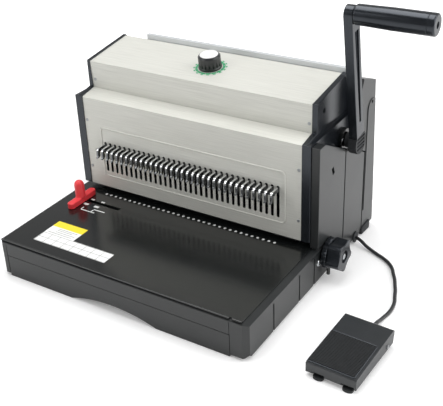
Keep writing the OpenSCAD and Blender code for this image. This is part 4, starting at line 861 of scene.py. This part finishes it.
# Rear foot: a moulded rubber block under the rear corner of the right side.
# It is pushed over the covers' lower edge and is a little taller at its rear end.
foot_x, foot_y, foot_z = 190.2, 332, 6.2
foot_width, foot_length, foot_height, foot_rise = 8.4, 28, 12, 4
work = bmesh.new()
bmesh.ops.create_cube(work, size=1.0)
for vert in work.verts:
    x, y, z = vert.co
    vert.co = place(foot_x + x * foot_width, foot_y + y * foot_length,
                    foot_z + z * foot_height + y * z * foot_rise)
bmesh.ops.bevel(work, geom=work.edges[:], offset=1.6 * MM, segments=3, profile=0.5, affect="EDGES")
lowest = min(vert.co.z for vert in work.verts)
for vert in work.verts:
    vert.co.z -= min(0.0, lowest)
rear_foot = shaped("rear_foot", work, rubber)
rear_foot.data.shade_smooth()
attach(rear_foot, "machine")

# Foot pedal: a moulded base, a treadle that turns on a steel pin, and a ribbed rubber pad in a glossy rim.
# Its ABS is a little bluer and lighter than the machine's, with the same fine grain.
# The cord enters at the rear through a tapered strain relief.
pedal_abs = moulded_abs("moulded_abs_blue_black", 30, "#1e2123", "#292c2f", 1.56)
treadle_front, treadle_length, treadle_front_z, treadle_rear_z = 13.5, 69.5, 19.5, 23
pedal_slope = math.atan((treadle_rear_z - treadle_front_z) / treadle_length)
skirt_depth, skirt_top, skirt_notch, skirt_drop, notch_drop = 4.5, 11.1, 10, 2.5, 2.6
left_notch, notch_half = -21, 8.1
pad_front, pad_shortening, pad_narrowing = 15, 0.145, 0.9


def skirted(x, y, z):
    """Brings the treadle's front wall lower, with shallow notches above the feet."""
    right, back = on_pedal(x, y)
    if back > pedal_front + skirt_depth or z > skirt_top:
        return x, y, z
    if abs(right - left_notch) < notch_half:
        right += left_foot_shift
    return *off_pedal(right, back), z - skirt_drop if z < skirt_notch else z - notch_drop


def inset(x, y, z):
    """Draws the pad's right side and rear end in, to leave the treadle's smooth top beside and behind it."""
    right, back = on_pedal(x, y)
    forward = (back - pad_front) * pad_shortening
    narrower = right * pad_narrowing if right > 0 else right
    return *off_pedal(narrower, back - forward), z - forward * math.tan(pedal_slope)


softened("pedal_base", pedal_abs, edge=0.5, segments=2)
softened("treadle", pedal_abs, edge=0.9, segments=3, reshape=skirted)
softened("treadle_pad", rubber, edge=0.15, segments=2, reshape=inset)
rim_x, rim_y, rim_back, rim_lift = 288.8, 43.9, 43.8, 0.3
rim_z = treadle_front_z + (rim_back - treadle_front) * math.tan(pedal_slope) + rim_lift
pad_rim = grown("pad_rim", ribs, {
    "Width": 57.6 * MM, "Height": 59.6 * MM, "Corner": 1.5 * MM, "Rib": 1.0 * MM,
    "Centre": place(rim_x, rim_y, rim_z), "Turn": (pedal_slope, 0, -pedal_turn), "Finish": gloss},
    frame["nodes"]["treadle"]["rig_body"])
pad_rim.data.shade_smooth()
softened("pedal_relief", rubber, edge=0.4, segments=2)
softened("cord_grommet", rubber, edge=0.6, segments=2)
dress("pedal_pin", zinc)
dress("pedal_switch", rubber)

# Pedal cord: round PVC flex of 4.8 mm, extruded smooth, so that it has a satin sheen.
# It runs from the grommet in the right side along the floor to the pedal, and lies loose.
pvc, tree, shader, where = finish_named("black_pvc_flex")
draw = add(tree, "ShaderNodeTexNoise", {"Vector": where, "Scale": 1 / (8 * MM), "Detail": 3.0})
clouded(shader, draw.outputs["Fac"], "#1d1e20", "#2a2b2d")
fill(shader, {"Roughness": 0.45, "IOR": 1.54})
exit_x, exit_y = 194, 298
stretch_x, stretch_y = 1.02911, 1.000364
route = [place(exit_x + (x - exit_x) * stretch_x, exit_y + (y - exit_y) * stretch_y, z) for x, y, z in (
    (194, 298, 9), (203, 294, 8), (213, 289, 5), (223, 285, 3), (233, 280, 2.5), (243, 275, 2.5),
    (253, 268, 2.5), (262, 258, 2.5), (268, 247, 2.5), (274, 236, 2.5), (279, 224, 2.5), (284, 212, 2.5),
    (288, 200, 2.5), (292, 188, 2.5), (294, 176, 2.5), (294, 164, 2.5), (292, 152, 2.5), (291, 142, 4),
    (291, 132, 7), (291, 122, 8))]
line = bpy.data.curves.new("pedal_flex", "CURVE")
line.dimensions = "3D"
line.bevel_depth = 2.4 * MM
line.bevel_resolution = 4
line.resolution_u = 6
spline = line.splines.new("BEZIER")
spline.bezier_points.add(len(route) - 1)
for knot, point in zip(spline.bezier_points, route):
    knot.co = point
    knot.handle_left_type = "AUTO"
    knot.handle_right_type = "AUTO"
line.materials.append(pvc)
flex = put_in("pedal_flex", line)
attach(flex, "machine")
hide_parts("pedal_cord")

# Studio: a white paper floor that glows only for the camera and fades to pure white away from the machine.
# The room is darker in front and overhead, so that glossy faces take some shade from it.
# Soft light falls from above and both sides, and the camera is the photograph's.
floor_finish, tree, shader, where = finish_named("white_studio_floor")
seen = add(tree, "ShaderNodeLightPath")
away = add(tree, "ShaderNodeVectorMath", {0: where}, operation="LENGTH")
paper_white = add(tree, "ShaderNodeMapRange", {
    "Value": away.outputs["Value"], "From Min": 0.5, "From Max": 1.8, "To Min": 0.16, "To Max": 1.0},
    interpolation_type="SMOOTHSTEP")
glow = add(tree, "ShaderNodeMath", {0: seen.outputs["Is Camera Ray"], 1: paper_white.outputs["Result"]},
           operation="MULTIPLY")
fill(shader, {"Base Color": linear("#f4f4f4"), "Roughness": 0.9, "Emission Color": linear("#ffffff"),
              "Emission Strength": glow.outputs[0]})
work = bmesh.new()
bmesh.ops.create_grid(work, x_segments=1, y_segments=1, size=6)
floor = shaped("floor", work, floor_finish)

world = bpy.data.worlds.new("studio")
bpy.context.scene.world = world
world.use_nodes = True
tree = world.node_tree
tree.nodes.clear()
away_from_camera = (-0.554, 0.832, 0.0)
path = add(tree, "ShaderNodeLightPath")
mirrored = add(tree, "ShaderNodeMath", {0: path.outputs["Is Glossy Ray"],
                                        1: path.outputs["Is Transmission Ray"]}, operation="MAXIMUM")
heading = add(tree, "ShaderNodeTexCoord").outputs["Generated"]
behind = add(tree, "ShaderNodeVectorMath", {0: heading, 1: away_from_camera}, operation="DOT_PRODUCT")
sweep = add(tree, "ShaderNodeMapRange", {"Value": behind.outputs["Value"], "From Min": -0.3, "From Max": 0.5,
                                         "To Min": 0.25, "To Max": 1.0}, interpolation_type="SMOOTHSTEP")
height = add(tree, "ShaderNodeSeparateXYZ", {"Vector": heading}).outputs["Z"]
ceiling = add(tree, "ShaderNodeMapRange", {"Value": height, "From Min": 0.2, "From Max": 0.5,
                                           "To Min": 1.0, "To Max": 0.35}, interpolation_type="SMOOTHSTEP")
room = add(tree, "ShaderNodeMath", {0: sweep.outputs["Result"], 1: ceiling.outputs["Result"]},
           operation="MULTIPLY")
dim = add(tree, "ShaderNodeBackground", {"Color": linear("#ffffff"), "Strength": 0.5})
bright = add(tree, "ShaderNodeBackground", {"Color": linear("#ffffff"), "Strength": 1.0})
studio = add(tree, "ShaderNodeBackground", {"Color": linear("#ffffff"), "Strength": room.outputs[0]})
unseen = add(tree, "ShaderNodeMixShader", {0: mirrored.outputs[0], 1: dim.outputs[0], 2: studio.outputs[0]})
both = add(tree, "ShaderNodeMixShader", {0: path.outputs["Is Camera Ray"], 1: unseen.outputs[0],
                                         2: bright.outputs[0]})
add(tree, "ShaderNodeOutputWorld", {"Surface": both.outputs[0]})


def lamp(name, spot, aim, size, power):
    """A square soft box that faces a point."""
    light = bpy.data.lights.new(name, "AREA")
    light.shape = "SQUARE"
    light.size = size
    light.energy = power
    stand = put_in(name, light)
    stand.location = spot
    stand.rotation_euler = (Vector(aim) - Vector(spot)).to_track_quat("-Z", "Y").to_euler()


lamp("overhead", (-0.3, 0.1, 2.2), aim=(0, 0, 0.1), size=1.6, power=33)
lamp("front_left", (-1.5, -1.6, 1.4), aim=(0, 0, 0.15), size=1.2, power=12)
lamp("right_side", (2.0, 0.6, 1.1), aim=(0.1, 0.05, 0.12), size=2.4, power=46)

shot = bpy.data.cameras.new("photograph")
shot.lens = 69.77
shot.sensor_width = 36.0
shot.shift_x = 0.0343
shot.shift_y = -0.0352
shot.clip_start = 0.05
camera = put_in("photograph", shot)
standpoint = place(590.4, -671.9, 659.5)
across, upward, backward = (0.8441, 0.5345, -0.0424), (-0.2246, 0.4242, 0.8773), (0.4869, -0.7310, 0.4781)
axes = Matrix((across, upward, backward)).transposed().to_4x4()
camera.matrix_world = Matrix.Translation(standpoint) @ axes
bpy.context.scene.camera = camera
